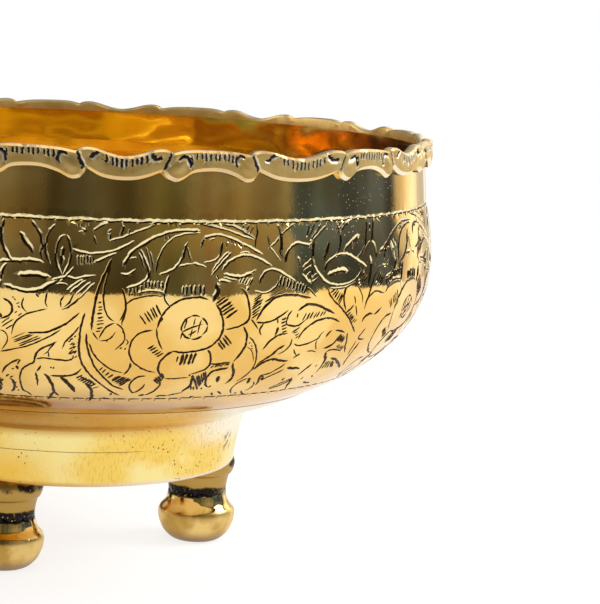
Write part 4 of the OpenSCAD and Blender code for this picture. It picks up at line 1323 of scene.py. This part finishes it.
wall = curve_through([(51, 28.4), (51.45, 32.2), (52.15, 36.1), (53.05, 40), (54.1, 43.8)], 0.8)
crease = curve_through([(54.1, 43.8), (54.75, 44.4), (55.5, 44.9), (56.4, 45.35), (57.6, 45.73)], 0.4)
collar = under_collar((SOLDER + WALL_T, COLLAR_EDGE_GAP + COLLAR_EDGE_T), end_s - 0.5, COLLAR_EDGE_S)
collar_back = under_collar((COLLAR_EDGE_GAP, SOLDER), COLLAR_EDGE_S, end_s - 0.5)
crease_back = curve_through([(57.1, 46.86), (55.5, 46.25), (54.2, 45.45), (53.2, 44.6)], 0.8)
wall_back = [(r - WALL_T, z) for r, z in reversed(wall)][1:-1]
profile = [(6, FLOOR_Z), (20, FLOOR_Z), (34, FLOOR_Z), *rounded_edge(CORNER_R, 0, 0)]
profile += [*wall[1:], *crease[1:], *collar, *collar_back, *crease_back[1:], *wall_back]
profile += [*reversed(rounded_edge(INNER_CORNER_R, WALL_T, FLOOR_T))]
profile += [(34, FLOOR_Z + FLOOR_T), (0, FLOOR_Z + FLOOR_T)]
drum = turn("turned_drum", profile, DRUM_AROUND, start_filled=True)
for vertex in drum.data.vertices:
    r = vertex.co.xy.length / MM
    if 50 < r < 55 and 28.5 < vertex.co.z / MM < 43.5:
        vertex.co.xy *= 1 + WAVE_HIGH * noise.noise(vertex.co * 110) / r
bpy.ops.object.select_all(action="DESELECT")
holes = []
for k in range(3):
    a = math.tau * k / 3
    bpy.ops.mesh.primitive_cylinder_add(
        vertices=32, radius=SCREW_HOLE_R * MM, depth=4 * MM, location=(
            FOOT_CIRCLE_R * math.cos(a) * MM, FOOT_CIRCLE_R * math.sin(a) * MM,
            (FLOOR_Z + FLOOR_T / 2) * MM))
    bpy.ops.object.transform_apply()
    holes.append(bpy.context.object)


def cut_away(piece, tools):
    """Cuts the tools' shapes out of the piece, and takes the tools away."""
    bpy.ops.object.select_all(action="DESELECT")
    piece.select_set(True)
    bpy.context.view_layer.objects.active = piece
    for tool in tools:
        cut = piece.modifiers.new("cut", "BOOLEAN")
        cut.operation = "DIFFERENCE"
        cut.solver = "EXACT"
        cut.object = tool
        bpy.ops.object.modifier_apply(modifier="cut")
    for tool in tools:
        bpy.data.objects.remove(tool)


bpy.ops.object.select_all(action="DESELECT")
drum.select_set(True)
bpy.context.view_layer.objects.active = drum
close_shell(drum, threshold=0.01)
cut_away(drum, holes)
bpy.ops.object.shade_smooth_by_angle(angle=math.radians(20))

finish, start = new_finish("drum_brass")
place = start.node("ShaderNodeTexCoord", output=3)
x, y, z = [
    start.node("ShaderNodeSeparateXYZ", inputs={"Vector": place}, output=axis) for axis in range(3)]
blotches = cloud(place, 48, detail=3.0)
grain = cloud(start.node("ShaderNodeMapping", inputs={
    "Vector": place, "Rotation": (0, 0.8, 0), "Scale": (1, 1, 0.2)}), 2000, detail=2.0)
worn = blotches.rise(0.42, 0.62)
brass = worn.mix((1.0, 0.83, 0.34, 1), (0.97, 0.68, 0.15, 1))
# Painted shade: the left of the wall, below the collar, is painted a deeper orange.
brass = (x.rise(0, -0.022) * z.rise(0.043, 0.03)).mix(brass, (0.94, 0.58, 0.09, 1))
# Painted shade: the collar is painted browner, darkest to the left.
painted_shade_tone = x.rise(-0.02, 0.04).mix((0.5, 0.24, 0.02, 1), (0.82, 0.54, 0.18, 1))
brass = (z * 1000).rise(41, 45).mix(brass, painted_shade_tone)
# Painted highlight: a pale, nearly white patch high on the right of the wall.
brass = (x.rise(0.026, 0.044) * z.rise(0.034, 0.041)).mix(brass, (1.0, 0.92, 0.72, 1))
# The rounded lower corner: painted shade in deeper orange to the left, painted highlight in pale cream to
# the right.
edge = x.rise(-0.02, 0.03).mix((0.72, 0.4, 0.09, 1), (0.95, 0.82, 0.62, 1))
brass = z.rise(0.0287, 0.0275).mix(brass, edge)
mottled = (grain.rise(0.5, 0.66) * blotches.rise(0.4, 0.6) * 0.4).mix(brass, (0.75, 0.38, 0.05, 1))
cells = start.node("ShaderNodeTexVoronoi", inputs={"Vector": place, "Scale": 650})
rare = cloud(place, 90, detail=1.0).rise(0.52, 0.66)
pits = cells.rise(0.2, 0.1) * rare
line = z * 1000 + cloud(place, 30) * 0.6 - 37.8
line = line.math("ABSOLUTE", line).rise(0.14, 0.05) * y.rise(-0.03, -0.045) * x.rise(0.022, 0.012)
# Dark streaks near the right edge of the wall's front.
dark_streaks = z.rise(0.0325, 0.0345) * z.rise(0.04, 0.038) * x.rise(0.0438, 0.0446) * x.rise(0.0472, 0.0462)
dark_streaks *= y.rise(0, -0.01) * cloud(place, 420).rise(0.46, 0.54)
marks = pits.math("MAXIMUM", pits, line.math("MAXIMUM", line, dark_streaks) * 0.6)
colour = marks.mix(mottled, (0.12, 0.06, 0.025, 1))
scratches = cloud(start.node("ShaderNodeMapping", inputs={
    "Vector": place, "Rotation": (0.3, 0.5, 0.2), "Scale": (1, 1, 0.15)}), 900)
height = scratches * 0.3 + grain * 0.5 - marks
bump = start.node("ShaderNodeBump", inputs={"Height": height, "Strength": 0.35, "Distance": 0.0004})
brass_shader(start, colour, 0.2 + 0.16 * blotches + 0.3 * marks, bump)
drum.data.materials.append(finish)
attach(drum, "root")
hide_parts("base_drum")


# Feet: three alike, cast and turned, with a glossy shoulder above a satin bun and a rough neck black with
# old polish, painted thicker and darker as shade on the side under the drum. The drum rests in a seat
# filed into the cap, and a screw comes down from the well.
SEAT_TOP = 27.6
TAPPED_R = 2.05
TAPPED_FLOOR_Z = 15.6
PAD_R = 6.5
FOOT_AROUND = 96
CAST_HIGH = 0.1
ROUGH_HIGH = 0.3
bun = curve_through([
    (PAD_R, 0), (7.7, 0.55), (9.1, 1.7), (10.2, 3.0), (11.0, 4.6), (11.55, 6.2), (11.8, 7.8),
    (11.8, 8.9), (11.55, 9.9), (10.9, 10.8), (10.0, 11.9), (9.4, 13.1)], 0.6)
neck = curve_through([
    (9.4, 13.1), (9.05, 14.3), (8.85, 15.3), (8.8, 16.1), (8.85, 16.6), (8.9, 16.9)], 0.25)
cap = curve_through([
    (8.9, 16.9), (9.0, 17.7), (9.3, 19.4), (9.7, 20.8), (10.3, 21.3), (10.9, 22.6), (11.2, 23.9),
    (11.2, 25), (10.9, 26), (10.3, 26.9)], 0.6)
profile = [*bun, *neck[1:], *cap[1:], (9.6, SEAT_TOP), (TAPPED_R, SEAT_TOP)]
profile += [(TAPPED_R, 22), (TAPPED_R, TAPPED_FLOOR_Z), (0, TAPPED_FLOOR_Z)]
pattern_foot = turn("turned_foot_1", profile, FOOT_AROUND, start_filled=True)
bpy.ops.object.mode_set(mode="EDIT")
bpy.ops.mesh.select_all(action="SELECT")
bpy.ops.transform.translate(value=(FOOT_CIRCLE_R * MM, 0, 0))
bpy.ops.object.mode_set(mode="OBJECT")
feet = [pattern_foot]
for k in (1, 2):
    bpy.ops.object.select_all(action="DESELECT")
    pattern_foot.select_set(True)
    bpy.context.view_layer.objects.active = pattern_foot
    bpy.ops.object.duplicate()
    foot = bpy.context.object
    foot.name = foot.data.name = f"turned_foot_{k + 1}"
    foot.rotation_euler.z = math.tau * k / 3
    bpy.ops.object.transform_apply()
    feet.append(foot)

finish, start = new_finish("foot_brass")
place = start.node("ShaderNodeTexCoord", output=3)
x, z = [
    start.node("ShaderNodeSeparateXYZ", inputs={"Vector": place}, output=axis) * 1000 for axis in (0, 2)]
blotches = cloud(place, 90, detail=3.0)
grain = cloud(place, 800)
ragged = z + 1.8 * cloud(place, 260, detail=3.0) - 0.9 + 2.4 * cloud(place, 60) - 1.2
# The black band is old polish; it is painted thicker and darker as shade on the side under the drum, and
# fainter on the foot's outer side.
under_drum_shade = x.rise(50, 36)
black = (ragged + under_drum_shade * 0.5).rise(14.5, 15.1) * (ragged - under_drum_shade * 0.7).rise(17.3, 16.7)
black *= x.rise(52, 45) * 0.7 + 0.3
glossy = (z + blotches * 2 - x.rise(38, 46) * 0.8).rise(10.2, 11) * z.rise(16.4, 15.9)
brass = blotches.rise(0.4, 0.6).mix((0.88, 0.62, 0.22, 1), (0.56, 0.34, 0.08, 1))
brass = z.rise(15.5, 17.5).mix(brass, (0.5, 0.31, 0.08, 1))
# Painted shade: the bun is painted browner low down, where it turns under towards the floor.
low = z.rise(5.0, 0.4).mix(brass, (0.34, 0.2, 0.1, 1))
stained = ragged.rise(23.2, 24.6) * ragged.rise(26.8, 26.0) * cloud(place, 130, detail=3.0).rise(0.5, 0.58)
dirt_and_shade = black.math("MAXIMUM", black, stained)
specks = cloud(place, 1500).rise(0.62, 0.7)
colour = (dirt_and_shade * (1 - 0.8 * specks)).mix(low, (0.02, 0.017, 0.016, 1))
height = grain * (0.25 + 2.0 * dirt_and_shade) * (1 - glossy)
bump = start.node("ShaderNodeBump", inputs={"Height": height, "Strength": 0.3, "Distance": 0.0005})
brass_shader(start, colour, (0.32 + 0.1 * blotches) * (1 - glossy) + 0.07 * glossy + 0.1 * dirt_and_shade, bump)

for k, foot in enumerate(feet):
    axis = Vector((math.cos(math.tau * k / 3), math.sin(math.tau * k / 3), 0)) * FOOT_CIRCLE_R * MM
    for vertex in foot.data.vertices:
        out = vertex.co - axis
        out.z = 0
        z = vertex.co.z / MM
        if out.length < 6 * MM or z < 0.1:
            continue
        rough = max(0, min(1, z - 14.2, 17.4 - z))
        high = CAST_HIGH * noise.noise(vertex.co * 160)
        high += rough * ROUGH_HIGH * noise.noise(vertex.co * 900)
        vertex.co += out.normalized() * high * MM
    bpy.ops.object.select_all(action="DESELECT")
    foot.select_set(True)
    bpy.context.view_layer.objects.active = foot
    close_shell(foot, threshold=0.01)
    seat = [(6, FLOOR_Z), (30, FLOOR_Z), *(
        (r + SOLDER * math.sin(a), max(FLOOR_Z, z - SOLDER * math.cos(a)))
        for a, (r, z) in zip(map(math.radians, range(0, 100, 10)), rounded_edge(CORNER_R, 0, 0)))]
    seat += [(DRUM_LOW_R + SOLDER, 29), (0, 29)]
    drum_space = turn("drum_space", seat, DRUM_AROUND, start_filled=True)
    close_shell(drum_space, threshold=0.001)
    cut_away(foot, [drum_space])
    bpy.ops.object.shade_smooth_by_angle(angle=math.radians(40))
    foot.data.materials.append(finish)
    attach(foot, "root")
    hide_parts(f"foot_{k + 1}")


# Screws and washers: turned and stamped brass, dull from handling and blotched with brown. They
# are put in from inside the well, one of each to a foot, and stay as the model has them.
finish, start = new_finish("screw_brass")
place = start.node("ShaderNodeTexCoord", output=3)
blotches = cloud(place, 160, detail=3.0)
colour = blotches.rise(0.35, 0.7).mix((0.78, 0.56, 0.24, 1), (0.5, 0.33, 0.13, 1))
bump = start.node("ShaderNodeBump", inputs={
    "Height": cloud(place, 1400), "Strength": 0.15, "Distance": 0.0003})
brass_shader(start, colour, 0.28 + 0.2 * blotches, bump)
for name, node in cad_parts.items():
    if name.startswith(("foot_screw", "foot_washer")):
        node.data.materials.clear()
        node.data.materials.append(finish)
